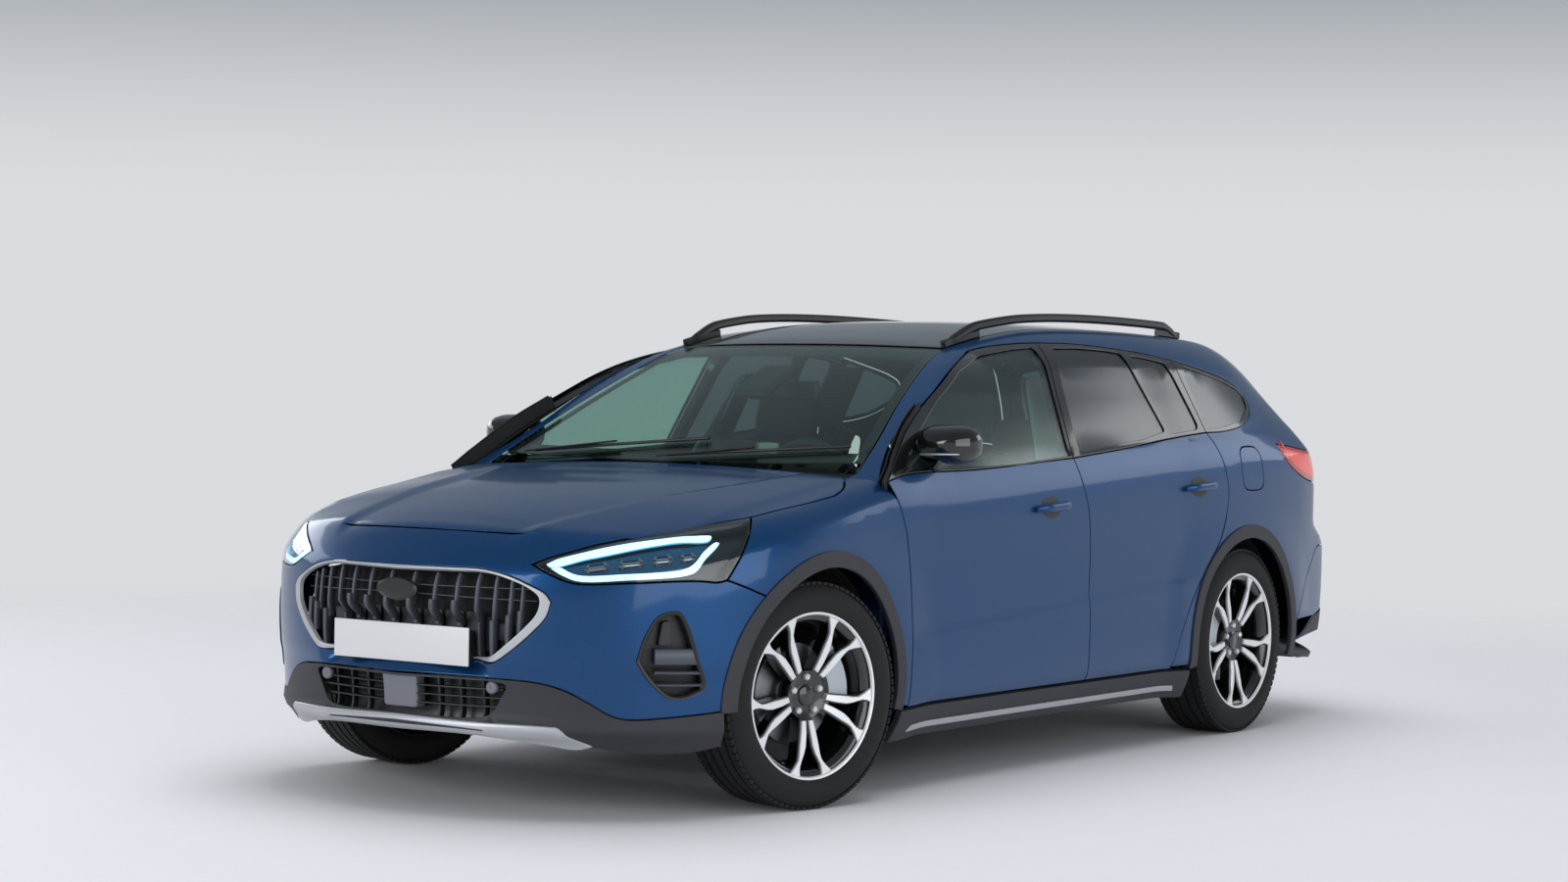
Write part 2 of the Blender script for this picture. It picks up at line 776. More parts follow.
def sweep(path: Array, profile: Array, up: Sequence[float] = (0, 0, 1), closed: bool = False, finish: int = 0,
          ups: Array | None = None, scale: Array | None = None) -> Draft:
    """Sweeps a closed profile (across, up) along a path.

    Args:
        path: points of the way.
        profile: the section's corners, anticlockwise seen against the way.
        up: direction that the section's height follows.
        closed: joins the end to the start.
        finish: material index.
        ups: one height direction per point, in place of up.
        scale: one size factor per point.

    Returns:
        The swept body.
    """
    path = np.asarray(path, float)
    if closed:
        t = np.roll(path, -1, axis=0) - np.roll(path, 1, axis=0)
    else:
        t = np.gradient(path, axis=0)
    t /= np.maximum(np.linalg.norm(t, axis=1, keepdims=True), 1e-9)
    u = np.tile(np.asarray(up, float), (len(path), 1)) if ups is None else ups
    side = np.cross(t, u)
    side /= np.maximum(np.linalg.norm(side, axis=1, keepdims=True), 1e-9)
    high = np.cross(side, t)
    k = np.ones(len(path)) if scale is None else scale
    n, m = len(path), len(profile)
    flat = side[:, None] * profile[None, :, :1] + high[:, None] * profile[None, :, 1:]
    p = path[:, None] + flat * k[:, None, None]
    faces = []
    for i in range(n if closed else n - 1):
        j = (i + 1) % n
        faces += [(i * m + a, i * m + (a + 1) % m, j * m + (a + 1) % m, j * m + a) for a in range(m)]
    out = Draft()
    out.add(p.reshape(-1, 3), faces, finish)
    if not closed:
        out.add(p[0], [tuple(range(m))[::-1]], finish)
        out.add(p[-1], [tuple(range(m))], finish)
    return out


def lathe(profile: Points, steps: int = 96, finish: int = 0, closed: bool = True) -> Draft:
    """Turns a profile about +Y.

    Args:
        profile: (radius, height) points, clockwise from the top.
        steps: facets round the axis.
        finish: material index.
        closed: joins the last point to the first.

    Returns:
        The turned body.
    """
    p = np.asarray(profile, float)
    a = np.linspace(0, 2 * math.pi, steps, endpoint=False)
    ring = np.stack([np.outer(np.cos(a), p[:, 0]), np.tile(p[:, 1], (steps, 1)), np.outer(np.sin(a), p[:, 0])], 2)
    m = len(p)
    faces = []
    for i in range(steps):
        j = (i + 1) % steps
        faces += [(i * m + k, i * m + (k + 1) % m, j * m + (k + 1) % m, j * m + k)
                  for k in range(m if closed else m - 1)]
    out = Draft()
    out.add(ring.reshape(-1, 3), faces, finish)
    return out


def loft(rings: Sequence[Array], finish: int = 0, caps: bool = True) -> Draft:
    """Joins closed rings of equally many points.

    Args:
        rings: the rings in order.
        finish: material index.
        caps: closes both ends.

    Returns:
        The body.
    """
    m = len(rings[0])
    faces = []
    for i in range(len(rings) - 1):
        faces += [(i * m + a, i * m + (a + 1) % m, (i + 1) * m + (a + 1) % m, (i + 1) * m + a) for a in range(m)]
    out = Draft()
    out.add(np.vstack(rings), faces, finish)
    if caps:
        out.add(rings[0], [tuple(range(m))[::-1]], finish)
        out.add(rings[-1], [tuple(range(m))], finish)
    return out


def rounded_box(lo: Sequence[float], hi: Sequence[float], r: float, finish: int = 0, n: int = 3) -> Draft:
    """Makes a box with rounded upright and level edges.

    Args:
        lo: lowest corner.
        hi: highest corner.
        r: radius.
        finish: material index.
        n: facets in a quarter turn.

    Returns:
        The box.
    """
    lo, hi = np.asarray(lo, float), np.asarray(hi, float)
    r = min(r, *((hi - lo) / 2 - 0.01))
    c = [(hi[0] - r, hi[1] - r), (lo[0] + r, hi[1] - r), (lo[0] + r, lo[1] + r), (hi[0] - r, lo[1] + r)]
    rings = []
    for k in [*range(n + 1), *range(n, -1, -1)]:
        top = len(rings) > n
        a = math.pi / 2 * k / n
        s, z = r * math.sin(a), (hi[2] - r + r * math.cos(a)) if top else (lo[2] + r - r * math.cos(a))
        ring = [(x + s * math.cos(q), y + s * math.sin(q), z) for i, (x, y) in enumerate(c)
                for q in np.linspace(i * math.pi / 2, (i + 1) * math.pi / 2, n + 1)]
        rings.append(np.array(ring))
    return loft(rings, finish)


def oval(w: float, h: float, n: int = 16) -> Array:
    """Returns a closed oval section, anticlockwise."""
    a = np.linspace(0, 2 * math.pi, n, endpoint=False)
    return np.stack([np.cos(a) * w / 2, np.sin(a) * h / 2], 1)


def slab(w: float, h: float, r: float = 1.0) -> Array:
    """Returns a closed rectangular section with small rounded corners, anticlockwise."""
    x, y = w / 2, h / 2
    return np.array([(x, -y + r), (x, y - r), (x - r, y), (-x + r, y), (-x, y - r), (-x, -y + r), (-x + r, -y),
                     (x - r, -y)])


# ---- finishes
def linear(colour: str) -> tuple[float, float, float, float]:
    """Returns an sRGB hex colour as linear RGBA."""
    parts = [int(colour[i:i + 2], 16) / 255 for i in (1, 3, 5)]
    return tuple(c / 12.92 if c <= 0.04045 else ((c + 0.055) / 1.055) ** 2.4 for c in parts) + (1.0,)


def node(tree: bpy.types.NodeTree, kind: str, values: dict | None = None, links: dict | None = None,
         **settings: object) -> bpy.types.Node:
    """Adds a node.

    Args:
        tree: tree that gets it.
        kind: its type.
        values: input name or index to value.
        links: input name or index to the socket that feeds it.
        **settings: properties of the node.

    Returns:
        The node.
    """
    made = tree.nodes.new(kind)
    for key, value in settings.items():
        setattr(made, key, value)
    for key, value in (values or {}).items():
        made.inputs[key].default_value = value
    for key, source in (links or {}).items():
        tree.links.new(source, made.inputs[key])
    return made


# scale of the wave texture at which one wave spans two threads
WAVE_TURNS = 0.16
FLAKE_MM = 1.6


@dataclass(frozen=True)
class Finish:
    """A surface finish with fine grain in its colour, roughness and bump.

    Args:
        name: what the material is and how it was made.
        colour: sRGB hex.
        metallic: 0 or 1, or between for flake paint.
        roughness: mean roughness.
        grain_mm: size of the grain.
        grain: how much it varies roughness and colour.
        bump_mm: its height.
        coat: weight of a clear coat.
        coat_roughness: the coat's roughness.
        ior: index of refraction, unused for metals.
        flake: bright flakes in paint.
        glow: light given off.
        specular: dielectric reflection level.
        weave_mm: thread spacing of a fabric, 0 for none.
        tint: sRGB hex of the light that glass lets through, empty for solids.
    """
    name: str
    colour: str
    metallic: float = 0.0
    roughness: float = 0.5
    grain_mm: float = 1.5
    grain: float = 0.1
    bump_mm: float = 0.0
    coat: float = 0.0
    coat_roughness: float = 0.03
    ior: float = 1.5
    flake: float = 0.0
    glow: float = 0.0
    specular: float = 0.5
    weave_mm: float = 0.0
    tint: str = ""

    def material(self) -> bpy.types.Material:
        """Makes the finish's material on its first use.

        Returns:
            The material.
        """
        known = bpy.data.materials.get(self.name)
        if known:
            return known
        mat = bpy.data.materials.new(self.name)
        mat.use_nodes = True
        tree = mat.node_tree
        tree.nodes.clear()
        place = node(tree, "ShaderNodeTexCoord").outputs["Object"]
        shader = node(tree, "ShaderNodeBsdfPrincipled", {
            "Metallic": self.metallic, "IOR": self.ior, "Coat Weight": self.coat,
            "Coat Roughness": self.coat_roughness, "Specular IOR Level": self.specular})
        face = shader.outputs[0]
        if self.tint:
            clear = node(tree, "ShaderNodeBsdfTransparent", {"Color": linear(self.tint)})
            tilt = node(tree, "ShaderNodeLayerWeight", {"Blend": 0.5}).outputs["Facing"]
            steep = node(tree, "ShaderNodeMath", {1: 5.0}, {0: tilt}, operation="POWER").outputs[0]
            share = node(tree, "ShaderNodeMapRange", {"To Min": (self.ior - 1) ** 2 / (self.ior + 1) ** 2,
                                                      "To Max": 0.9}, {"Value": steep}).outputs["Result"]
            face = node(tree, "ShaderNodeMixShader", links={0: share, 1: clear.outputs[0], 2: face}).outputs[0]
        node(tree, "ShaderNodeOutputMaterial", links={"Surface": face})
        noise = node(tree, "ShaderNodeTexNoise", {"Scale": 1 / (self.grain_mm * MM), "Detail": 3.0},
                     {"Vector": place})
        spread = node(tree, "ShaderNodeMapRange", {
            "To Min": max(self.roughness - self.grain, 0.0), "To Max": min(self.roughness + self.grain, 1.0)},
            {"Value": noise.outputs["Fac"]})
        tree.links.new(spread.outputs["Result"], shader.inputs["Roughness"])
        base = np.array(linear(self.colour))
        dark, light = base * (1 - self.grain), np.minimum(base * (1 + self.grain) + 0.002 * self.grain, 1)
        dark[3] = light[3] = 1
        fac = noise.outputs["Fac"]
        if self.flake:
            cells = node(tree, "ShaderNodeTexVoronoi", {"Scale": 1 / (FLAKE_MM * MM)}, {"Vector": place})
            fac = node(tree, "ShaderNodeSeparateColor", links={"Color": cells.outputs["Color"]}).outputs["Red"]
            dark, light = base * (1 - self.flake), base * (1 + self.flake)
            dark[3] = light[3] = 1
        if self.weave_mm:
            fac, height = self.woven(tree, place)
        else:
            height = noise.outputs["Fac"]
        mix = node(tree, "ShaderNodeMix", {6: tuple(dark), 7: tuple(light)}, {0: fac}, data_type="RGBA")
        tree.links.new(mix.outputs[2], shader.inputs["Base Color"])
        if self.bump_mm or self.weave_mm:
            bump = node(tree, "ShaderNodeBump", {"Strength": 0.6, "Distance": max(self.bump_mm, 0.2) * MM},
                        {"Height": height})
            tree.links.new(bump.outputs[0], shader.inputs["Normal"])
        if self.glow:
            shader.inputs["Emission Color"].default_value = linear(self.colour)
            shader.inputs["Emission Strength"].default_value = self.glow
        return mat

    def woven(self, tree: bpy.types.NodeTree, place: bpy.types.NodeSocket) -> tuple:
        """Adds crossed threads.

        Args:
            tree: tree that gets them.
            place: socket of the coordinates.

        Returns:
            Sockets of their colour factor and height.
        """
        turns = WAVE_TURNS / (self.weave_mm * MM)
        waves = [node(tree, "ShaderNodeTexWave", {"Scale": turns}, {"Vector": place}, bands_direction=way)
                 for way in ("X", "Z", "Y")]
        crossed = node(tree, "ShaderNodeMath", links={0: waves[0].outputs["Fac"], 1: waves[1].outputs["Fac"]},
                       operation="MULTIPLY")
        more = node(tree, "ShaderNodeMath", links={0: crossed.outputs[0], 1: waves[2].outputs["Fac"]},
                    operation="MAXIMUM")
        return more.outputs[0], more.outputs[0]


# flake base under a clear coat: deep colour that lightens where it faces the light; flakes drawn coarse to show
PAINT = Finish("blue_flake_paint_clearcoated", "#033F70", metallic=0.65, roughness=0.34, grain=0.04, grain_mm=4,
               coat=0.5, coat_roughness=0.07, flake=0.16, specular=0.3)
# sprayed enamel under a clear coat: a dark mirror
ROOF_BLACK = Finish("black_enamel_clearcoated", "#0B0C0E", roughness=0.25, grain=0.02, coat=1.0)
# moulded with a fine leather grain: soft, slightly uneven highlight
CLADDING = Finish("grained_polypropylene", "#26282E", roughness=0.55, grain=0.12, grain_mm=2.2, bump_mm=0.25)
# moulded in a polished tool: sharp reflections, no grain
GLOSS_BLACK = Finish("piano_black_abs", "#08090A", roughness=0.12, grain=0.02, coat=0.6)
# moulded in an etched tool: broad dull highlight
SATIN_BLACK = Finish("satin_black_abs", "#131416", roughness=0.36, grain=0.06, bump_mm=0.05)
# extruded: matt, hardly any highlight
RUBBER_SEAL = Finish("epdm_rubber_seal", "#0C0C0D", roughness=0.7, grain=0.05, bump_mm=0.05)
# sprayed with fine flake: pale, soft-edged shine
SILVER = Finish("silver_painted_abs", "#B4B7BC", metallic=0.45, roughness=0.38, grain=0.05)
# moulded and left plain: dull and even
PANEL_GREY = Finish("grey_moulded_abs", "#6C6F77", roughness=0.5, grain=0.06)
# sprayed with dark flake: a grey that brightens at a slant
GUNMETAL = Finish("gunmetal_painted_abs", "#4E5259", metallic=0.4, roughness=0.4, grain=0.06)
# floated and laminated: nearly clear, faintly green, a mirror at a slant; metallic is its mirror share
WINDSCREEN = Finish("laminated_green_glass", "#FFFFFF", metallic=1.0, roughness=0.02, grain=0.0, ior=1.45,
                    tint="#DCEBE4")
# tempered, so a little wavy: softened reflections
DOOR_GLASS = Finish("tempered_green_glass", "#FFFFFF", metallic=1.0, roughness=0.16, grain=0.0, ior=1.8,
                    tint="#D0E6E2")
# tinted in the melt and tempered: dark, with softened reflections
PRIVACY_GLASS = Finish("privacy_tinted_glass", "#FFFFFF", metallic=1.0, roughness=0.18, grain=0.0, ior=2.1,
                       tint="#9AA2A9")
# moulded clear with a hard coat: shows only by its reflections
LENS = Finish("clear_polycarbonate", "#FFFFFF", metallic=1.0, roughness=0.02, grain=0.0, ior=1.45, tint="#F4F8FA")
# metallised reflector lit by the blue guides: deep teal
LAMP_TEAL = Finish("lamp_reflector_lit_blue", "#10435F", roughness=0.25, grain=0.05, glow=0.25)
# moulded, half polished: dark, with small highlights
LAMP_BLACK = Finish("lamp_housing_black", "#14171B", roughness=0.3, grain=0.06)
# frosted acrylic lit from its end: even pale blue
LED = Finish("led_light_guide", "#C9EFFF", roughness=0.3, grain=0.0, glow=1.05)
# cut edge of the guide: deeper blue
LED_EDGE = Finish("led_guide_edge", "#3FB4E8", roughness=0.3, grain=0.0, glow=0.8)
# moulded acrylic: deep red with a sharp shine
RED_LENS = Finish("red_acrylic_lens", "#A3181C", roughness=0.1, grain=0.04, coat=1.0)
# ribbed acrylic behind the lens: a lighter red that seems lit
RED_INNER = Finish("red_lamp_bars", "#E2483F", roughness=0.2, grain=0.04, coat=0.6, glow=0.12)
# glass beads under a film: flat white with a light shine
PLATE_WHITE = Finish("reflective_plate_sheet", "#D4D5D7", roughness=0.35, grain=0.03, coat=0.3)
# vulcanised with soot: matt and faintly dusty
TYRE = Finish("tyre_rubber", "#0C0C0D", roughness=0.78, grain=0.1, grain_mm=3, bump_mm=0.12)
# cast, painted and lacquered: black with sharp highlights
ALLOY_BLACK = Finish("black_painted_alloy", "#08090A", roughness=0.22, grain=0.03, coat=0.8)
# cast and turned on a lathe: bright, with fine uneven sheen
ALLOY_CUT = Finish("diamond_turned_alloy", "#E9EBED", metallic=0.45, roughness=0.32, grain=0.06, grain_mm=0.8)
# plated: bright with a soft edge
STEEL_BRIGHT = Finish("zinc_plated_steel", "#D2D5D8", metallic=0.6, roughness=0.3, grain=0.08)
# ground by the pads: streaky dull mirror
DISC_IRON = Finish("ground_cast_iron", "#8B8E92", metallic=1.0, roughness=0.34, grain=0.1, grain_mm=3)
# sand-cast: pale, pitted and dull
CALIPER = Finish("cast_aluminium_caliper", "#B4BDC4", metallic=0.3, roughness=0.45, grain=0.12, bump_mm=0.2)
# dipped: black, slightly uneven
CHASSIS = Finish("black_chassis_paint", "#17181A", roughness=0.55, grain=0.12, grain_mm=6, bump_mm=0.2)
# sand-cast: rough, dark, broken highlights
CAST_METAL = Finish("sand_cast_iron", "#3A3C3F", metallic=0.6, roughness=0.6, grain=0.15, grain_mm=3, bump_mm=0.4)
# rolled and warmed in use: brownish, cloudy shine
EXHAUST = Finish("stainless_exhaust_steel", "#8A8681", metallic=1.0, roughness=0.42, grain=0.14, grain_mm=9)
# needled felt: takes all light
LINER = Finish("felted_arch_liner", "#101012", roughness=0.9, grain=0.15, grain_mm=2, bump_mm=0.4)
# moulded with a soft lacquer: no sharp highlight
SOFT_DARK = Finish("soft_touch_moulding", "#1B1D20", roughness=0.6, grain=0.1, grain_mm=1.4, bump_mm=0.2)
# woven over foam: pale and even; threads drawn coarse to show
LIGHT_TRIM = Finish("pale_grey_trim_cloth", "#9A9C9C", roughness=0.85, grain=0.08, weave_mm=3.0)
# woven: small dark checks; threads drawn coarse to show
SEAT_CLOTH = Finish("dark_woven_seat_cloth", "#212429", roughness=0.88, grain=0.2, weave_mm=5.0, bump_mm=0.3)
# needled: dark, rough and speckled
CARPET = Finish("needled_carpet", "#191A1C", roughness=0.95, grain=0.2, grain_mm=3, bump_mm=0.6)
# silvered at the back: a clear mirror
MIRROR_GLASS = Finish("mirror_glass", "#C9CED2", metallic=1.0, roughness=0.03, grain=0.01)


# ---- shut lines shared by neighbouring panels
@dataclass(frozen=True)
class Line:
    """A line on the body's left side: control points of a chart, or points in space."""
    points: Points
    chart: Chart = SIDE
    region: Region = FLANK

    def __call__(self) -> Array:
        """Returns the line laid on the body."""
        return seam(self.chart, self.points, self.region)


@dataclass(frozen=True)
class ShutLines:
    """Lines on the left side where panels meet, each given once."""
    # front edge of the front door, upwards
    door_front: Line = Line([(985, SILL_Z), (981, 511), (1004, 690), (1046, 875), (1092, 960)])
    # foot of the front door's window, backwards
    belt_front: Line = Line([(1092, 960), (1000, 976), (900, 984), (550, 990), (-49, 1020)])
    # foot of the rear door's window, backwards
    belt_rear: Line = Line([(-49, 1020), (-400, 1048), (-728, 1079), (-1016, 1100)])
    # between the doors below the windows, downwards
    middle_low: Line = Line([(-49, 1020), (-66, 950), (-88, 870), (-110, 700), (-116, 480), (-116, SILL_Z)])
    # between the doors beside the windows, upwards
    middle_high: Line = Line([(-49, 1020), (-140, 1406)])
    # top edge of the front door, backwards
    top_front: Line = Line([(1092, 960), (985, 1040), (873, 1117), (670, 1220), (438, 1319), (211, 1376), (20, 1398),
                            (-140, 1406)])
    # top edge of the rear door, backwards
    top_rear: Line = Line([(-140, 1406), (-375, 1407), (-769, 1385), (-978, 1361)])
    # rear edge of the rear door beside its window, downwards
    rear_high: Line = Line([(-978, 1361), (-1016, 1100)])
    # rear edge of the rear door from the belt to the sill, downwards
    rear_low: Line = Line([(-1016, 1100), (-1052, 1040), (-1078, 960), (-1084, 850), (-1026, 724), (-923, 610),
                           (-823, 500), (-748, 380), (-700, SILL_Z)])
    # outside of the black surround of the quarter window, from the door's top round to the belt
    quarter_band: Line = Line([(-978, 1361), (-1132, 1336), (-1350, 1295), (-1436, 1266), (-1466, 1240),
                               (-1472, 1206), (-1440, 1170), (-1330, 1127), (-1150, 1104), (-1016, 1100)])
    # foot of the doors, forwards
    sill: Line = Line([(-700, SILL_Z), (-116, SILL_Z)])
    # foot of the front door, forwards
    sill_front: Line = Line([(-116, SILL_Z), (985, SILL_Z)])
    # rear edge of the bonnet, outwards
    bonnet_rear: Line = Line([(1132, 0), (1130, 300), (1124, 560), (1118, 729)], TOP, BONNET)
    # from the foot of the pillar along the bonnet's rear corner, forwards
    bonnet_corner: Line = Line([(1118, 729), (1180, 772), (1262, 822), (1330, 842)], TOP, BONNET)
    # side edge of the bonnet down to the lamp's rear corner, forwards
    bonnet_side: Line = Line([(1330, 842), (1443, 836), (1560, 820), (1696, 800)], TOP, BONNET)
    # upper edge of the headlamp beside the bonnet, forwards
    lamp_top: Line = Line([(1696, 800, 866), (1774, 766, 853), (1894, 716, 829), (2031, 639, 804)], WRAP, BONNET)
    # upper edge of the headlamp from the bonnet's corner to its inner tip
    lamp_crown: Line = Line([(2031, 639, 804), (2129, 548, 780), (2201, 464, 751), (2230, 427, 732)], WRAP, BONNET)
    # lower edge of the headlamp from its inner tip outwards
    lamp_foot: Line = Line([(2230, 427, 732), (2221, 482, 706), (2205, 522, 689), (2185, 560, 680), (2105, 671, 684),
                            (2004, 767, 690), (1943, 808, 690), (1898, 833, 686), (1870, 846, 692)], WRAP, BONNET)
    # outer edge of the headlamp, upwards to its rear corner
    lamp_outer: Line = Line([(1870, 846, 692), (1828, 859, 752), (1768, 849, 820), (1730, 828, 852),
                             (1696, 800, 866)], WRAP, BONNET)
    # front edge of the bonnet from the lamp to the middle
    bonnet_nose: Line = Line([(2031, 639), (2090, 545), (2150, 410), (2196, 240), (2214, 100), (2218, 0)], TOP,
                             BONNET)
    # between front bumper and fender, from the lamp back to the arch
    bumper_side: Line = Line([(1870, 846, 692), (1813, 867, 671), (1754, 883, 648), (1727, 889, 638)], WRAP, BONNET)
    # side of the windscreen, from its foot to the roof
    screen_side: Line = Line([(1060, 735), (1000, 722), (880, 692), (700, 640), (500, 588), (330, 551), (262, 541)],
                             TOP, CABIN)
    # between windscreen and roof, from the side to the middle
    screen_top: Line = Line([(262, 541), (285, 420), (300, 220), (305, 0)], TOP, CABIN)
    # edge of the roof skin, backwards
    roof_side: Line = Line([(262, 541), (130, 550), (-100, 556), (-500, 560), (-900, 559), (-1300, 553), (-1600, 538),
                            (-1833, 508)], TOP, CABIN)
    # between roof and tailgate, from the side to the middle
    hatch_top: Line = Line([(-1833, 508), (-1833, 0)], TOP, CABIN)
    # side of the tailgate from the roof down to the bumper
    hatch_side: Line = Line([(508, 1412), (545, 1330), (588, 1210), (628, 1090), (655, 1010), (660, 930), (640, 850),
                             (600, 770), (560, 720), (530, 690)], TAIL, CABIN)
    # foot of the tailgate, from the side to the middle
    hatch_foot: Line = Line([(530, 690), (470, 672), (0, 668)], TAIL, CABIN)
    # between rear bumper and body, from the tailgate round to the arch
    bumper_top: Line = Line([(-2290, 530, 690), (-2225, 660, 662), (-2100, 770, 655), (-1960, 832, 652),
                             (-1880, 850, 590), (-1800, 868, 520), (-1683, 880, 372)], WRAP, CABIN)


SHUT = ShutLines()


def both_objects(draft: Draft, name: str, finishes: Sequence[Finish], body: str, slot: str,
                 replaces: Sequence[str] = (), **more: object) -> None:
    """Makes a left piece and its mirror image, each on its own side's body.

    Args:
        draft: the left mesh.
        name: name without the side.
        finishes: materials, in the order of the faces' indices.
        body: body without its side.
        slot: the record's material slot.
        replaces: CAD nodes that they stand for, without the side.
        **more: options of Draft.build.
    """
    for side, part in (("left", draft), ("right", draft.mirrored())):
        part.build(f"{name}_{side}", finishes, f"{body}_{side}" if body != "body" else body, slot,
                   [f"{r}_{side}" for r in replaces], **more)


def line3(*points: Sequence[float]) -> Array:
    """Returns a straight line through points in space."""
    return np.asarray(points, float)


def mirror_loop(half: Array) -> Array:
    """Closes an outline over the middle line.

    Args:
        half: left half, which starts and ends on the middle line.

    Returns:
        The whole outline.
    """
    half = half.copy()
    half[[0, -1], 1] = 0.0
    other = (half * [1, -1, 1])[::-1][1:-1]
    return np.vstack([half, other])


# ---- body panels
@dataclass
class BodyPanels:
    """Painted skins fixed to the body: sides, roof and fenders."""
    skin: float = 2.4
    arch_r: float = 386.0

    def side(self) -> Draft:
        """Makes the body side with the windscreen pillar, roof rail, quarter and rear corner.

        Returns:
            The left one.
        """
        s = SHUT
        front, pillar = s.door_front(), s.screen_side()
        corner = s.bonnet_rear()[-1]
        foot = seam(WRAP, [front[-1], corner], CABIN)
        cowl = seam(WRAP, [corner, pillar[0]], CABIN)
        ring = arc(REAR_X, self.arch_r, 173, -9)
        sill = seam(SIDE, [(-832, 275), (-706, 275)])
        outline = loop(foot, cowl, pillar, s.roof_side(), s.hatch_side(), s.bumper_top(), ring, sill,
                       s.rear_low()[::-1], s.quarter_band()[::-1], s.top_rear()[::-1], s.top_front()[::-1])
        holes = [FLAP.outline(), TAIL_LAMP.outline()]
        return panel(WRAP, CABIN, outline, holes, thick=self.skin, step=26)

    def fender(self) -> Draft:
        """Makes the front fender.

        Returns:
            The left one.
        """
        s = SHUT
        corner = s.bonnet_rear()[-1]
        foot = seam(WRAP, [s.door_front()[-1], corner], BONNET)
        ring = arc(FRONT_X, self.arch_r, 47, 188, BONNET)
        outline = loop(s.door_front(), foot, s.bonnet_corner(), s.bonnet_side(), s.lamp_outer()[::-1],
                       s.bumper_side(), ring)
        return panel(WRAP, BONNET, outline, thick=self.skin, step=24)

    def roof(self) -> Draft:
        """Makes the roof skin.

        Returns:
            The skin.
        """
        s = SHUT
        half = loop(s.screen_top()[::-1], s.roof_side(), s.hatch_top())
        return panel(TOP, CABIN, mirror_loop(half), thick=self.skin, step=40)

    def build(self) -> None:
        """Builds the skins."""
        self.side().both().build("side_skins", [PAINT], slot="paint", replaces=["body_sides"])
        self.fender().both().build("fender_skins", [PAINT], slot="paint", replaces=["front_fenders"])
        edge = seam(SIDE, [(1106, 944), (1085, 958), (985, 1034), (873, 1111), (740, 1180)])
        seal = sweep(edge - [0, 11, 0], slab(7, 44, 2), up=(0, 0, 1))
        seal.join(sweep(edge + [0, -27, -6], slab(5, 54, 2), up=(0, 0, 1)))
        seal.both().build("front_aperture_seals", [RUBBER_SEAL], slot="black_trim")
        self.roof().build("roof_skin", [ROOF_BLACK], slot="roof_paint", replaces=["roof_panel"])


@dataclass
class FuelFlap:
    """Round-cornered fuel flap on the left quarter."""

    def outline(self) -> Array:
        """Draws the flap's shut line.

        Returns:
            The outline.
        """
        pts = [(-1203, 960), (-1210, 1022), (-1232, 1042), (-1284, 1048), (-1345, 1042), (-1366, 1020),
               (-1372, 960), (-1366, 908), (-1345, 892), (-1284, 888), (-1232, 892), (-1210, 906)]
        return rounded(SIDE, CABIN, pts)

    def build(self) -> None:
        """Builds the flap."""
        flap = panel(SIDE, CABIN, self.outline(), thick=2.4, step=24)
        flap.build("fuel_flap_skin", [PAINT], "fuel_flap", "paint", ["fuel_flap"])
        pocket = panel(SIDE, CABIN, self.outline(), lift=-24, thick=3, gap=4, step=30)
        pocket.build("fuel_pocket", [SATIN_BLACK], slot="black_trim")


FLAP = FuelFlap()


@dataclass
class TailLamp:
    """Red lamp wrapped round the rear corner, with a shorter part on the tailgate."""

    def outline(self) -> Array:
        """Draws the lamp opening in the body's rear corner.

        Returns:
            The outline.
        """
        pts = [(-1545, 872, 1057), (-1640, 872, 1052), (-1740, 868, 1040), (-1850, 848, 1027), (-1960, 790, 1019),
               (-2062, 690, 1014), (-2078, 672, 1004), (-2086, 670, 950), (-2092, 672, 892), (-2066, 714, 876),
               (-1960, 800, 884), (-1850, 860, 904), (-1740, 888, 928), (-1650, 895, 962), (-1585, 893, 1002)]
        return rounded(WRAP, CABIN, pts)

    def inner(self) -> Array:
        """Lamp opening in the tailgate."""
        pts = [(640, 1010), (641, 950), (640, 886), (520, 894), (400, 914), (372, 950), (400, 990), (520, 1004)]
        return rounded(HATCH, CABIN, pts)

    def build(self) -> None:
        """Builds lenses, housings and bars."""
        for outline, chart, body, name, old in ((self.outline(), WRAP, "body", "tail_lamp", ["tail_lamps"]),
                                                (self.inner(), HATCH, "tailgate", "tailgate_lamp", [])):
            lamp = panel(chart, CABIN, outline, lift=1.5, thick=22, gap=2.5, edge=4, step=20)
            for share in (18.0, 40.0):
                lamp.join(panel(chart, CABIN, outline, lift=2.6, thick=2, gap=share, edge=1.5, step=20, finish=1))
            lamp.both().build(name, [RED_LENS, RED_INNER], body, "tail_lamp", old)


TAIL_LAMP = TailLamp()


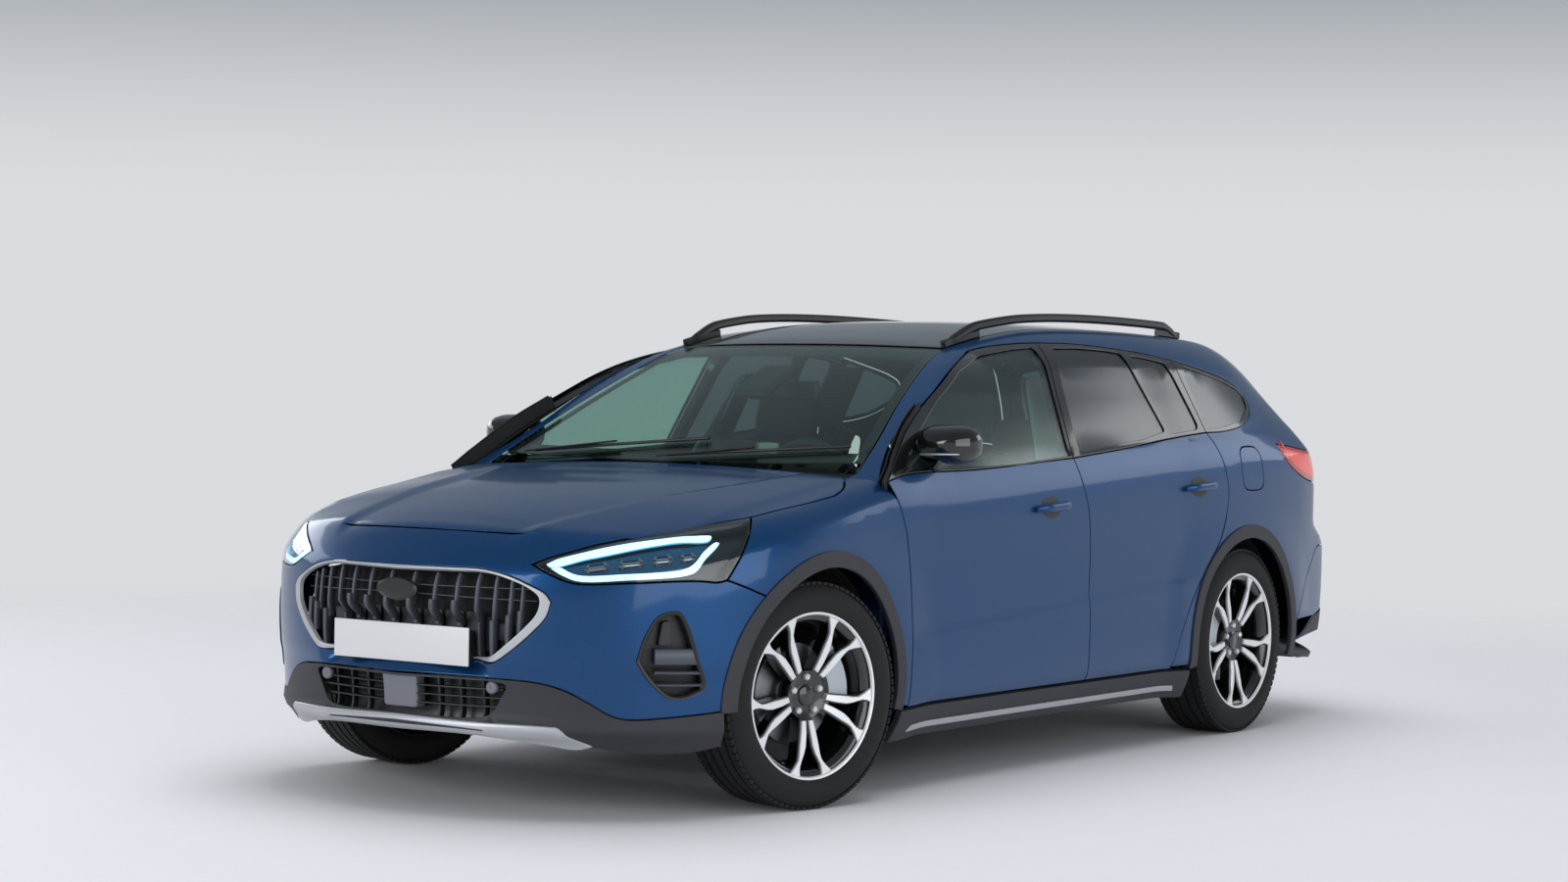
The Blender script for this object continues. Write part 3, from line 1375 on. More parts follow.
# ---- nose
@dataclass
class Nose:
    """Front bumper, grille, lamps and lower trim."""
    grille_half: tuple = ((0, 715), (149, 715), (292, 713), (375, 697), (433, 674), (478, 651), (495, 627),
                          (484, 585), (442, 534), (387, 485), (343, 455), (298, 443), (150, 441), (0, 441))
    bars: tuple = (45, 128, 205, 272, 330, 378, 412)

    def grille_line(self) -> Array:
        """Draws the outer edge of the grille, from the top middle to the bottom middle.

        Returns:
            Its left half.
        """
        p = np.array(self.grille_half, float)
        uv = np.vstack([spline(p[:7]), spline(p[6:12])[1:], spline(p[11:])[1:]])
        return thrown(NOSE, uv, BONNET)

    def dark_edge(self) -> Array:
        """Draws the upper edge of the dark lower bumper, from the middle out to the arch.

        Returns:
            The line.
        """
        return seam(WRAP, [(2322, 0, 405), (2294, 259, 406), (2261, 377, 403), (2229, 458, 396), (2196, 521, 378),
                           (2158, 579, 344), (2122, 628, 310), (2090, 660, 300), (1964, 779, 307), (1864, 836, 317)],
                    BONNET)

    def bottom_edge(self) -> Array:
        """Foot of the bumper, from the middle out to the arch."""
        return seam(WRAP, [(2316, 0, 262), (2276, 280, 258), (2220, 412, 244), (2145, 532, 222), (2035, 660, 200),
                           (1929, 754, 203), (1846, 813, 222)], BONNET)

    def vent(self, points: Points) -> Array:
        """A closed line on the bumper through points in space."""
        return rounded(WRAP, BONNET, points, 7)

    def fog_outline(self) -> Array:
        """Draws the fog lamp vent.

        Returns:
            Its outline.
        """
        return self.vent([(2086, 695, 465), (2069, 715, 540), (2044, 737, 589), (2015, 760, 602), (1995, 775, 600),
                          (1974, 789, 561), (1946, 804, 463), (1926, 810, 400), (1930, 806, 380), (1954, 790, 366),
                          (1973, 777, 358), (2010, 750, 361), (2061, 712, 418)])

    def bumper(self) -> Draft:
        """Makes the painted bumper skin with openings for grille and vents.

        Returns:
            The left half.
        """
        s = SHUT
        nose = s.bonnet_nose()[::-1]
        grille = self.grille_line()
        ring = arc(FRONT_X, 420, 46, -2.5, BONNET)
        low = line3(self.dark_edge()[0], grille[-1])
        low[:, 1] = 0
        top = line3(grille[0], nose[0])
        top[:, 1] = 0
        outline = loop(nose, s.lamp_crown(), s.lamp_foot(), s.bumper_side(), ring, self.dark_edge()[::-1],
                       spline(low), grille[::-1], spline(top))
        return panel(WRAP, BONNET, outline, [self.fog_outline()], thick=3, step=22)

    def lower(self) -> Draft:
        """Makes the dark lower bumper with the lower intake.

        Returns:
            The whole piece.
        """
        dark, foot = self.dark_edge(), self.bottom_edge()
        ring = arc(FRONT_X, 421, -3, -15.8, BONNET)
        full = mirror_loop(loop(dark, ring, foot[::-1]))
        intake = thrown(WRAP, spline(flatten(WRAP, np.array([(2320, 0, 395), (2300, 260, 395), (2280, 330, 393),
                                                             (2268, 366, 384), (2272, 352, 350), (2285, 326, 304),
                                                             (2292, 300, 291), (2318, 0, 289)], float)), 9), BONNET)
        return panel(WRAP, BONNET, full, [mirror_loop(intake)], lift=2, thick=5, step=24, gap=1.5)

    def lip(self) -> Draft:
        """Makes the silver skid plate along the foot of the bumper.

        Returns:
            The plate.
        """
        top = seam(WRAP, [(2324, 0, 283), (2294, 262, 279), (2217, 487, 275), (2205, 512, 272), (2182, 530, 250),
                          (2124, 572, 222)], BONNET)
        low = seam(WRAP, [(2124, 572, 222), (2141, 532, 210), (2214, 412, 228), (2283, 253, 245), (2312, 0, 247)],
                   BONNET)
        return panel(WRAP, BONNET, mirror_loop(loop(top, low)), lift=7, thick=9, step=22, gap=0.5, edge=3)

    def lamp_line(self) -> Array:
        """Outline of the headlamp."""
        s = SHUT
        return loop(s.lamp_foot(), s.lamp_outer(), s.lamp_top(), s.lamp_crown())

    def lamps(self) -> None:
        """Builds housings, light guides, projector cells and lenses."""
        line = self.lamp_line()
        inside_lamp = panel(WRAP, BONNET, line, lift=-46, thick=4, gap=5, step=26)
        inside_lamp.join(skirt(WRAP, BONNET, line, -3, -50, 3.5))
        upper = self.vent([(2214, 462, 738), (2185, 487, 755), (2131, 550, 775), (2030, 642, 797), (1917, 731, 815),
                           (1858, 780, 822), (1875, 787, 808), (1935, 747, 800), (2048, 662, 781), (2147, 564, 755),
                           (2210, 476, 728)])
        low = self.vent([(2213, 478, 726), (2204, 519, 702), (2185, 557, 688), (2104, 669, 692), (1982, 780, 704),
                         (1950, 799, 716), (1920, 807, 752), (1858, 810, 802), (1864, 804, 805), (1911, 795, 778),
                         (1951, 791, 742), (1980, 777, 726), (2102, 667, 712), (2179, 560, 706), (2193, 531, 716),
                         (2200, 502, 730)])
        light = Draft()
        for band in (upper, low):
            light.join(panel(WRAP, BONNET, band, lift=-9, thick=7, gap=0.6, edge=1, step=12, wall=1))
        cells = Draft()
        for a, b in (((2163, 560, 730), (2118, 612, 740)), ((2100, 632, 744), (2048, 684, 752)),
                     ((2030, 700, 756), (1985, 742, 762)), ((1970, 755, 764), (1930, 785, 768))):
            ends = flatten(WRAP, np.array([a, b], float))
            h = 16.0
            box = np.array([(ends[0, 0], ends[0, 1] - h), (ends[1, 0], ends[1, 1] - h), (ends[1, 0], ends[1, 1] + h),
                            (ends[0, 0], ends[0, 1] + h)])
            cell = cornered(WRAP, BONNET, box, 8.0)
            cells.join(panel(WRAP, BONNET, cell, lift=-24, thick=20, gap=2, edge=3, step=16))
            cells.join(panel(WRAP, BONNET, cell, lift=-21, thick=6, gap=9, edge=4, step=12, finish=1))
        teal = self.vent([(2200, 484, 728), (2140, 570, 752), (2048, 664, 778), (1940, 748, 797), (1880, 786, 804),
                          (1905, 797, 780), (1946, 795, 744), (1978, 779, 728), (2102, 669, 714), (2179, 562, 708)])
        cells.join(panel(WRAP, BONNET, teal, lift=-30, thick=4, gap=-4, edge=1, step=20, finish=2))
        lens = panel(WRAP, BONNET, line, lift=0.5, thick=2.5, gap=2.5, edge=1.5, step=22)
        inside_lamp.both().build("headlamp_housing", [LAMP_BLACK], slot="black_trim", replaces=["headlamps"])
        light.both().build("headlamp_light_guides", [LED, LED_EDGE], slot="lamp")
        cells.both().build("headlamp_projectors", [GLOSS_BLACK, MIRROR_GLASS, LAMP_TEAL], slot="lamp")
        lens.both().build("headlamp_lens", [LENS], slot="window")

    def grille(self) -> None:
        """Builds the grille frame, bars, radar panel, badge blank and number plate."""
        outer = self.grille_line()
        full = mirror_loop(outer)
        hole = mirror_loop(seam(NOSE, [(0, 703), (200, 706), (300, 704), (380, 685), (436, 661), (462, 638),
                                       (459, 598), (428, 556), (373, 504), (329, 470), (283, 455), (150, 453),
                                       (0, 453)], BONNET))
        frame_ring = panel(NOSE, BONNET, full, [hole], lift=4, thick=14, gap=1.5, edge=2.5, step=16)
        back = panel(NOSE, BONNET, hole, lift=-62, thick=4, gap=-34, step=50)
        frame_ring.build("grille_frame", [SILVER], slot="grille_trim", replaces=["radiator_grille"])
        bars = Draft().join(back)
        poly = flatten(NOSE, hole)
        for y in self.bars:
            z = np.linspace(440, 720, 281)
            z = z[inside(np.stack([np.full_like(z, y), z], 1), poly)]
            lo, hi = max(z.min(), 556 if y < 268 else 0), z.max()
            for low, high, lift, width in ((lo, lo + 0.42 * (hi - lo), -20, 12), (lo + 0.36 * (hi - lo), hi, -34, 9)):
                way = np.stack([np.full(12, float(y)), np.linspace(low - 6, high + 4, 12)], 1)
                path = thrown(NOSE, way, BONNET, lift)
                for part in (path, path * [1, -1, 1]):
                    bars.join(sweep(part, slab(26, width, 2), up=(0, 1, 0), finish=1))
        for base, top in ((668, 664), (641, 630)):
            y = np.linspace(-452, 452, 40)
            wire = thrown(NOSE, np.stack([y, top + (base - top) * (1 - np.abs(y) / 452)], 1), BONNET, -30)
            bars.join(sweep(wire, slab(7, 3, 1), up=(0, 0, 1), finish=1))
        edges = [0, 45, 128, 205, 272, 330, 378]
        for a, b, top in zip(edges[:-1], edges[1:], (604, 601, 592, 586, 574, 560)):
            z = np.linspace(440, 700, 261)
            low = max(float(z[inside(np.stack([np.full_like(z, v), z], 1), poly)].min()) for v in (a, b)) + 2
            for y0, y1 in (((a, b), (-b, -a)) if a else ((-b, b),)):
                across = np.linspace(y0 + 7, y1 - 7, 8)
                path = thrown(NOSE, np.stack([across, np.full(8, (low + top) / 2)], 1), BONNET, -46)
                bars.join(sweep(path, slab(10, top - low, 2), up=(0, 0, 1), finish=2))
        bars.build("grille_bars", [LINER, GUNMETAL, CLADDING], slot="grille_trim")
        badge = lathe([(0.01, 0), (30, 0), (33, 2), (33, 9), (30, 12), (26, 10.5), (0.01, 12)], 64)
        turned = Matrix.Translation((2314, 0, 645)) @ Matrix.Rotation(math.radians(-90), 4, "Z")
        stretch = Matrix.Diagonal((2.35, 1, 1, 1))
        badge.moved(turned @ stretch).build("badge_blank", [SATIN_BLACK], slot="grille_trim", weld=False)
        plate = rounded_box((2301, -260, 436), (2307, 260, 546), 2.5)
        plate.join(rounded_box((2262, -250, 446), (2301, 250, 536), 4, finish=1))
        plate.build("front_plate", [PLATE_WHITE, SATIN_BLACK], slot="black_trim", weld=False)

    def vents(self) -> None:
        """Builds the fog vents' frames and fins, and the lower intake's bars."""
        out = self.fog_outline()
        tub = panel(WRAP, BONNET, out, lift=-44, thick=3, gap=3, step=24)
        tub.join(skirt(WRAP, BONNET, out, 4, -46, -2.0, 9.0))
        uv = flatten(WRAP, out)
        mid, lo, hi = uv.mean(axis=0), uv.min(axis=0), uv.max(axis=0)
        for share, tall in ((0.15, 9), (0.29, 10), (0.48, 46)):
            v = lo[1] + (hi[1] - lo[1]) * share
            row = np.stack([np.linspace(lo[0], lo[0] + 0.74 * (hi[0] - lo[0]), 60), np.full(60, v)], 1)
            row = row[inside(row, uv)]
            path = thrown(WRAP, row, BONNET, -16)
            tub.join(sweep(path, slab(34, tall, 4), up=(0, 0, 1), finish=1))
        pane = cornered(WRAP, BONNET, [(mid[0] - 2, mid[1] + 30), (mid[0] + 36, mid[1] + 30),
                                       (mid[0] + 26, hi[1] - 26), (mid[0] + 2, hi[1] - 22)], 8.0)
        tub.join(panel(WRAP, BONNET, pane, lift=-14, thick=26, gap=0, edge=3, step=20, finish=2))
        tub.both().build("fog_vents", [SATIN_BLACK, GUNMETAL, CLADDING], slot="black_trim")
        bars = Draft()
        for z in (322, 346, 370):
            y = np.linspace(-352, 352, 50)
            path = thrown(NOSE, np.stack([y, np.full(50, float(z))], 1), BONNET, -24)
            bars.join(sweep(path, slab(30, 5, 1), up=(0, 0, 1)))
        for y in (-290, -215, -140, 140, 215, 290):
            path = thrown(NOSE, np.stack([np.full(8, float(y)), np.linspace(286, 398, 8)], 1), BONNET, -28)
            bars.join(sweep(path, slab(22, 7, 1), up=(0, 1, 0)))
        back = cornered(NOSE, BONNET, [(-375, 286), (375, 286), (385, 400), (-385, 400)], 20)
        bars.join(panel(NOSE, BONNET, back, lift=-60, thick=4, gap=0, step=50))
        radar = cornered(NOSE, BONNET, [(-64, 306), (64, 306), (66, 401), (-66, 401)], 10)
        bars.join(panel(NOSE, BONNET, radar, lift=-7, thick=38, gap=0, edge=4, step=24, finish=1))
        for side in (-323.0, 323.0):
            spot = thrown(NOSE, np.array([[side, 377.0]]), BONNET, -16)[0]
            eye = lathe([(0.01, 0), (15, 0), (18, 3), (18, 16), (14, 19), (0.01, 20)], 40, finish=1)
            bars.join(eye.moved(Matrix.Translation(spot) @ Matrix.Rotation(math.radians(-90), 4, "Z")))
        bars.build("lower_intake", [SATIN_BLACK, PANEL_GREY], slot="black_trim")

    def build(self) -> None:
        """Builds the nose."""
        self.bumper().both().build("front_bumper_skin", [PAINT], slot="paint", replaces=["front_bumper"])
        self.lower().build("front_bumper_lower", [CLADDING], slot="cladding")
        self.lip().build("front_skid_plate", [SILVER], slot="grille_trim")
        self.lamps()
        self.grille()
        self.vents()


def skirt(chart: Chart, region: Region, outline: Array, top: float, bottom: float, gap: float,
          width: float = 2.0) -> Draft:
    """Makes a closed wall that follows an outline between two heights.

    Args:
        chart: how the body is laid flat.
        region: surfaces that count.
        outline: closed line in space.
        top: upper height above the body.
        bottom: lower height.
        gap: how far inside the outline it stands.
        width: its thickness.

    Returns:
        The wall.
    """
    uv = flatten(chart, outline)
    uv = uv if area(uv) > 0 else uv[::-1]
    free = np.zeros(len(uv), bool)
    near, far = inset(uv, gap, free), inset(uv, gap + width, free)
    rings = [thrown(chart, u, region, h) for u, h in ((near, top), (near, bottom), (far, bottom), (far, top))]
    rings.append(rings[0])
    return loft(rings, caps=False)


# ---- opening panels and glass
@dataclass
class Bonnet:
    """Bonnet skin with an inner frame."""

    def build(self) -> None:
        """Builds the bonnet."""
        s = SHUT
        half = loop(s.bonnet_rear(), s.bonnet_corner(), s.bonnet_side(), s.lamp_top(), s.bonnet_nose())
        skin = panel(TOP, BONNET, mirror_loop(half), thick=2.2, step=24)
        inner = panel(TOP, BONNET, mirror_loop(half), lift=-8, thick=12, gap=46, step=60, finish=1)
        skin.join(inner)
        skin.build("bonnet_skin", [PAINT, SATIN_BLACK], "bonnet", "paint", ["bonnet"])


@dataclass
class Doors:
    """Four doors: painted skin, inner body, black window frame, glass, handle and mirror."""
    front_glass: tuple = ((955, 1000), (800, 1112), (640, 1204), (430, 1300), (215, 1356), (30, 1380), (-92, 1388),
                          (-96, 1340), (-62, 1180), (-33, 1046), (-42, 1030), (280, 1008), (550, 1001), (800, 997))
    rear_glass: tuple = ((-206, 1388), (-372, 1391), (-560, 1385), (-640, 1378), (-668, 1300), (-730, 1108),
                         (-560, 1081), (-300, 1057), (-114, 1041), (-108, 1060), (-170, 1310))
    light: tuple = ((-700, 1370), (-769, 1366), (-915, 1346), (-936, 1300), (-974, 1128), (-958, 1112), (-762, 1098),
                    (-744, 1112), (-700, 1290))

    def pane(self, points: Points, soft: float = 14.0) -> Array:
        """Returns a window's outline."""
        return cornered(SIDE, FLANK, points, soft)

    def door(self, lower: Array, upper: Array, panes: Sequence[Array], name: str, handle_x: float,
             handle_z: float) -> None:
        """Builds one pair of doors.

        Args:
            lower: outline of the painted part.
            upper: outline of the black window frame.
            panes: windows in it.
            name: CAD node and body without its side.
            handle_x: middle of the handle.
            handle_z: its height.
        """
        chart, region = SIDE, FLANK
        skin = panel(chart, region, lower, thick=2.2, step=26)
        skin.join(panel(chart, region, lower, lift=-16, thick=70, gap=34, step=80, edge=6, finish=1))
        top = panel(chart, region, upper, panes, thick=2.5, step=26, gap=1.8)
        skin.join(top, finish=2)
        skin.join(panel(chart, region, upper, panes, lift=-12, thick=26, step=60, gap=12), finish=2)
        skin.join(self.handle(handle_x, handle_z))
        both_objects(skin, name.replace("door", "door_shell"), [PAINT, SOFT_DARK, GLOSS_BLACK, SATIN_BLACK], name,
                     "paint", [name])
        glass = Draft()
        for line in panes:
            glass.join(panel(chart, region, line, lift=-5, thick=4, gap=-7, edge=0.8, step=60))
        finish = DOOR_GLASS if name.startswith("front") else PRIVACY_GLASS
        both_objects(glass, f"{name}_pane", [finish], name, "window", [f"{name}_glass"])

    def handle(self, x: float, z: float) -> Draft:
        """Makes a pull handle over a dark cup.

        Args:
            x: its middle.
            z: its height.

        Returns:
            The handle.
        """
        uv = np.stack([np.linspace(x + 98, x - 98, 25), np.linspace(z - 5, z + 5, 25)], 1)
        t = np.linspace(-1, 1, 25)
        rise = 6 + 26 * (1 - t ** 6)
        path = thrown(SIDE, uv, FLANK, rise)
        out = sweep(path, oval(27, 14), up=(0, 1, 0), scale=1 - 0.35 * t ** 8)
        cup = np.stack([np.cos(np.linspace(0, 2 * np.pi, 41)[:-1]) * 62 + x,
                        np.sin(np.linspace(0, 2 * np.pi, 41)[:-1]) * 36 + z], 1)
        line = thrown(SIDE, cup, FLANK)
        return out.join(panel(SIDE, FLANK, line, lift=0.9, thick=2, gap=0, edge=1, step=24, finish=3))

    def build(self) -> None:
        """Builds the doors."""
        s = SHUT
        front_low = loop(s.door_front(), s.belt_front(), s.middle_low(), s.sill_front())
        front_high = loop(s.belt_front()[::-1], s.top_front(), s.middle_high()[::-1])
        rear_low = loop(s.middle_low()[::-1], s.belt_rear(), s.rear_low(), s.sill())
        rear_high = loop(s.belt_rear()[::-1], s.middle_high(), s.top_rear(), s.rear_high())
        self.door(front_low, front_high, [self.pane(self.front_glass)], "front_door", 150, 859)
        self.door(rear_low, rear_high, [self.pane(self.rear_glass), self.pane(self.light)], "rear_door", -870, 907)


@dataclass
class Mirror:
    """Door mirror on a foot."""

    def build(self) -> None:
        """Builds both mirrors."""
        rings = []
        for k, (x, sy, sz) in enumerate(((722, 0.86, 0.80), (726, 0.93, 0.9), (746, 0.99, 0.99), (776, 1.0, 1.0),
                                         (806, 0.94, 0.90), (832, 0.80, 0.72), (848, 0.56, 0.46), (855, 0.2, 0.16))):
            a = np.linspace(0, 2 * np.pi, 33)[:-1]
            c, s = np.cos(a), np.sin(a)
            y = 885 + 102 * sy * np.sign(c) * np.abs(c) ** 0.6 - (k - 3) * 1.5
            z = 1070 + 62 * sz * np.sign(s) * np.abs(s) ** 0.7
            rings.append(np.stack([np.full(32, float(x)), y, z], 1))
        shell = loft([r[::-1] for r in rings])
        a = np.linspace(0, 2 * np.pi, 33)[:-1]
        pane = np.stack([np.full(32, 720.0), 885 + 90 * np.sign(np.cos(a)) * np.abs(np.cos(a)) ** 0.6,
                         1070 + 50 * np.sign(np.sin(a)) * np.abs(np.sin(a)) ** 0.7], 1)
        shell.join(loft([pane[::-1], pane[::-1] + [4, 0, 0]], finish=2))
        turn = np.linspace(0, 2 * math.pi, 17)[:-1]
        foot = [np.array([(790 + 34 * math.cos(t), y, z + 14 * math.sin(t)) for t in turn])
                for y, z in ((838, 990), (858, 996), (874, 1006), (888, 1030))]
        shell.join(loft(foot))
        strip = np.array([(846 - 0.0022 * (y - 885) ** 2, y, 1040 + 0.02 * (y - 885))
                          for y in np.linspace(826, 964, 16)])
        shell.join(sweep(strip, slab(10, 5, 1), up=(0, 0, 1), finish=1))
        both_objects(shell, "mirror_shell", [GLOSS_BLACK, SILVER, MIRROR_GLASS], "front_door", "black_trim",
                     ["door_mirror"])


@dataclass
class Glass:
    """Windscreen, quarter windows and the cowl with its wipers."""
    border: float = 42.0

    def build(self) -> None:
        """Builds the fixed glass."""
        s = SHUT
        foot = seam(NOSE, [(0, 1001), (400, 1004), (716, 1010)], CABIN)
        line = mirror_loop(loop(foot, s.screen_side(), s.screen_top()))
        chart, region = NOSE, CABIN
        glass = panel(chart, region, line, lift=-2, thick=5, gap=3, edge=1, step=40)
        glass.build("windscreen", [WINDSCREEN], slot="window", replaces=["fixed_windows"])
        uv = flatten(chart, line)
        uv = inset(uv, self.border if area(uv) > 0 else -self.border, np.zeros(len(line), bool))
        hole = thrown(chart, uv, region)
        border = panel(chart, region, line, [hole], lift=-8, thick=1.5, gap=5, step=40)
        tilt = Matrix.Translation((505, 0, 1284)) @ Matrix.Rotation(math.radians(27), 4, "Y")
        tilt = tilt @ Matrix.Translation((-505, 0, -1300))
        border.join(rounded_box((430, -70, 1268), (640, 70, 1300), 14).moved(tilt))
        border.join(rounded_box((372, -120, 1196), (392, 120, 1262), 9))
        border.build("windscreen_border", [SATIN_BLACK], slot="black_trim")
        pane = Doors().pane(((-1046, 1336), (-1132, 1322), (-1340, 1281), (-1425, 1256), (-1456, 1232),
                             (-1440, 1192), (-1330, 1143), (-1150, 1120), (-1040, 1115), (-1030, 1300)), 12)
        band = loop(s.quarter_band(), s.rear_high()[::-1])
        black = panel(SIDE, FLANK, band, [pane], lift=0, thick=3, gap=1.2, step=26)
        black.both().build("quarter_surround", [GLOSS_BLACK], slot="black_trim")
        panel(SIDE, FLANK, pane, lift=-4, thick=4, gap=-8, step=50).both().build("quarter_glass", [PRIVACY_GLASS],
                                                                                 slot="window")
        self.cowl()

    def cowl(self) -> None:
        """Builds the cowl and two wipers."""
        top = seam(TOP, [(1118, 0), (1122, 400), (1130, 590), (1136, 690)], BONNET)
        low = seam(NOSE, [(712, 1002), (400, 990), (0, 985)], CABIN)
        cowl = panel(TOP, BONNET, mirror_loop(loop(top, spline(line3(top[-1], low[0])), low)), lift=-20, thick=12,
                     gap=2, step=50)
        for y0, y1, z1 in ((-560, 120, 1066), (30, 640, 1052)):
            y = np.linspace(y0, y1, 24)
            uv = np.stack([y, np.linspace(1012, z1, 24)], 1)
            blade = thrown(NOSE, uv, CABIN, 9)
            cowl.join(sweep(blade, slab(13, 10, 2), up=(0, 0, 1)))
            arm = thrown(NOSE, np.stack([np.linspace(y0 - 20, (y0 + y1) / 2, 12),
                                         np.linspace(998, (1012 + z1) / 2, 12)], 1), CABIN, 21)
            cowl.join(sweep(arm, slab(16, 6, 2), up=(0, 0, 1)))
        cowl.build("cowl_and_wipers", [SATIN_BLACK], slot="black_trim")


@dataclass
class Tail:
    """Tailgate with its window and spoiler, and the rear bumper."""

    def build(self) -> None:
        """Builds the tail."""
        s = SHUT
        chart, region = HATCH, CABIN
        line = mirror_loop(loop(s.hatch_top()[::-1], s.hatch_side(), s.hatch_foot()))
        window = [(0, 1085), (300, 1088), (505, 1100), (528, 1130), (505, 1300), (455, 1500), (420, 1522), (0, 1540)]
        uv = spline(np.array(window, float)[:4])
        uv = np.vstack([uv, spline(np.array(window[3:6], float))[1:], spline(np.array(window[5:], float))[1:]])
        pane = mirror_loop(thrown(chart, uv, region))
        lamps = [TAIL_LAMP.inner()]
        lamps.append(lamps[0] * [1, -1, 1])
        shell = panel(chart, region, line, [pane, *lamps], thick=2.4, step=30)
        shell.join(panel(chart, region, line, [pane], lift=-34, thick=14, gap=36, step=70, finish=1))
        spoiler = [thrown(chart, np.stack([np.linspace(-480, 480, 40), np.full(40, v)], 1), region, h)
                   for v, h in ((1560, 2), (1580, 24), (1640, 14), (1672, 1))]
        strip = np.stack(spoiler, 0)
        rings = np.concatenate([strip, (strip - [0, 0, 12])[::-1]], 0).transpose(1, 0, 2)
        shell.join(loft([*rings], finish=2))
        shell.join(rounded_box((-2302, -258, 745), (-2294.5, 258, 855), 3, finish=3))
        shell.join(rounded_box((-2294, -330, 735), (-2262, 330, 870), 6, finish=1))
        shell.build("tailgate_shell", [PAINT, SATIN_BLACK, GLOSS_BLACK, PLATE_WHITE], "tailgate", "paint",
                    ["tailgate"])
        glass = panel(chart, region, pane, lift=-4, thick=4, gap=-10, step=50)
        glass.build("tailgate_glass", [PRIVACY_GLASS], "tailgate", "window")
        ring = arc(REAR_X, 421, 173, 190)
        foot = seam(WRAP, [(-1672, 862, 262), (-1760, 850, 244), (-1950, 790, 236), (-2120, 640, 236),
                           (-2210, 420, 238), (-2250, 0, 240)], region)
        edge = seam(WRAP, [(-1676, 868, 318), (-1760, 862, 330), (-1950, 810, 400), (-2120, 680, 440),
                           (-2250, 420, 452), (-2300, 0, 452)], region)
        top = s.hatch_foot()[::-1]
        blue = mirror_loop(loop(top, s.bumper_top(), arc(REAR_X, 421, 174, 182), edge))
        dark = mirror_loop(loop(edge[::-1], ring[-6:], foot))
        bumper = panel(WRAP, region, blue, thick=3, step=34)
        bumper.join(panel(WRAP, region, dark, lift=3, thick=5, step=34, gap=1.5, finish=1))
        for y in (430, -430):
            bumper.join(rounded_box((-2318, y - 95, 398), (-2290, y + 95, 416), 6, finish=2))
        bumper.build("rear_bumper_skin", [PAINT, CLADDING, RED_LENS], slot="paint", replaces=["rear_bumper"])


@dataclass
class Trim:
    """Cladding round the arches and along the sills, and the roof rails."""

    def build(self) -> None:
        """Builds the trim."""
        region = FLANK
        pieces = Draft()
        for axle, start, end in ((FRONT_X, -3.0, 189.6), (REAR_X, -9.6, 190.5)):
            outer, inner = arc(axle, ARCH_OUT, start, end, region), arc(axle, ARCH_IN, end, start, region)
            ring = loop(outer, spline(np.array([outer[-1], inner[0]])), inner,
                        spline(np.array([inner[-1], outer[0]])))
            pieces.join(panel(SIDE, region, ring, lift=7, thick=16, gap=0.3, edge=3, step=16))
        pieces.both().build("arch_trim", [CLADDING], slot="cladding", replaces=["arch_cladding"])
        sill = Draft()
        top = [(-836, 262), (1026, 262)]
        low = [(1040, 168), (-850, 168)]
        line = cornered(SIDE, region, low + top, 6)
        sill.join(panel(SIDE, region, line, lift=10, thick=22, gap=0, edge=4, step=60))
        strip = cornered(SIDE, region, [(-760, 196), (960, 196), (940, 214), (-745, 214)], 4)
        sill.join(panel(SIDE, region, strip, lift=13, thick=5, gap=0, edge=1.5, step=60, finish=1))
        sill.both().build("sill_trim", [CLADDING, SILVER], slot="cladding")
        x = np.linspace(268, -1350, 110)
        y = 536 + 24 * ease(268, -300, x) - 10 * ease(-900, -1350, x)
        rise = 7 + 32 * ease(270, 60, x) * ease(-1352, -1200, x)
        rail = thrown(TOP, np.stack([x, y], 1), CABIN, rise)
        profile = slab(26, 30, 8)
        rails = sweep(rail, profile, up=(0, 0, 1), scale=0.45 + 0.55 * ease(270, 190, x) * ease(-1352, -1290, x))
        for a, b in ((262, 60), (-1180, -1345)):
            foot = np.linspace(a, b, 12)
            base = thrown(TOP, np.stack([foot, np.interp(-foot, -x, y)], 1), CABIN, 12)
            rails.join(sweep(base, slab(20, 24, 3), up=(0, 0, 1)))
        rails.both().build("rails", [SATIN_BLACK], slot="black_trim", replaces=["roof_rails"])


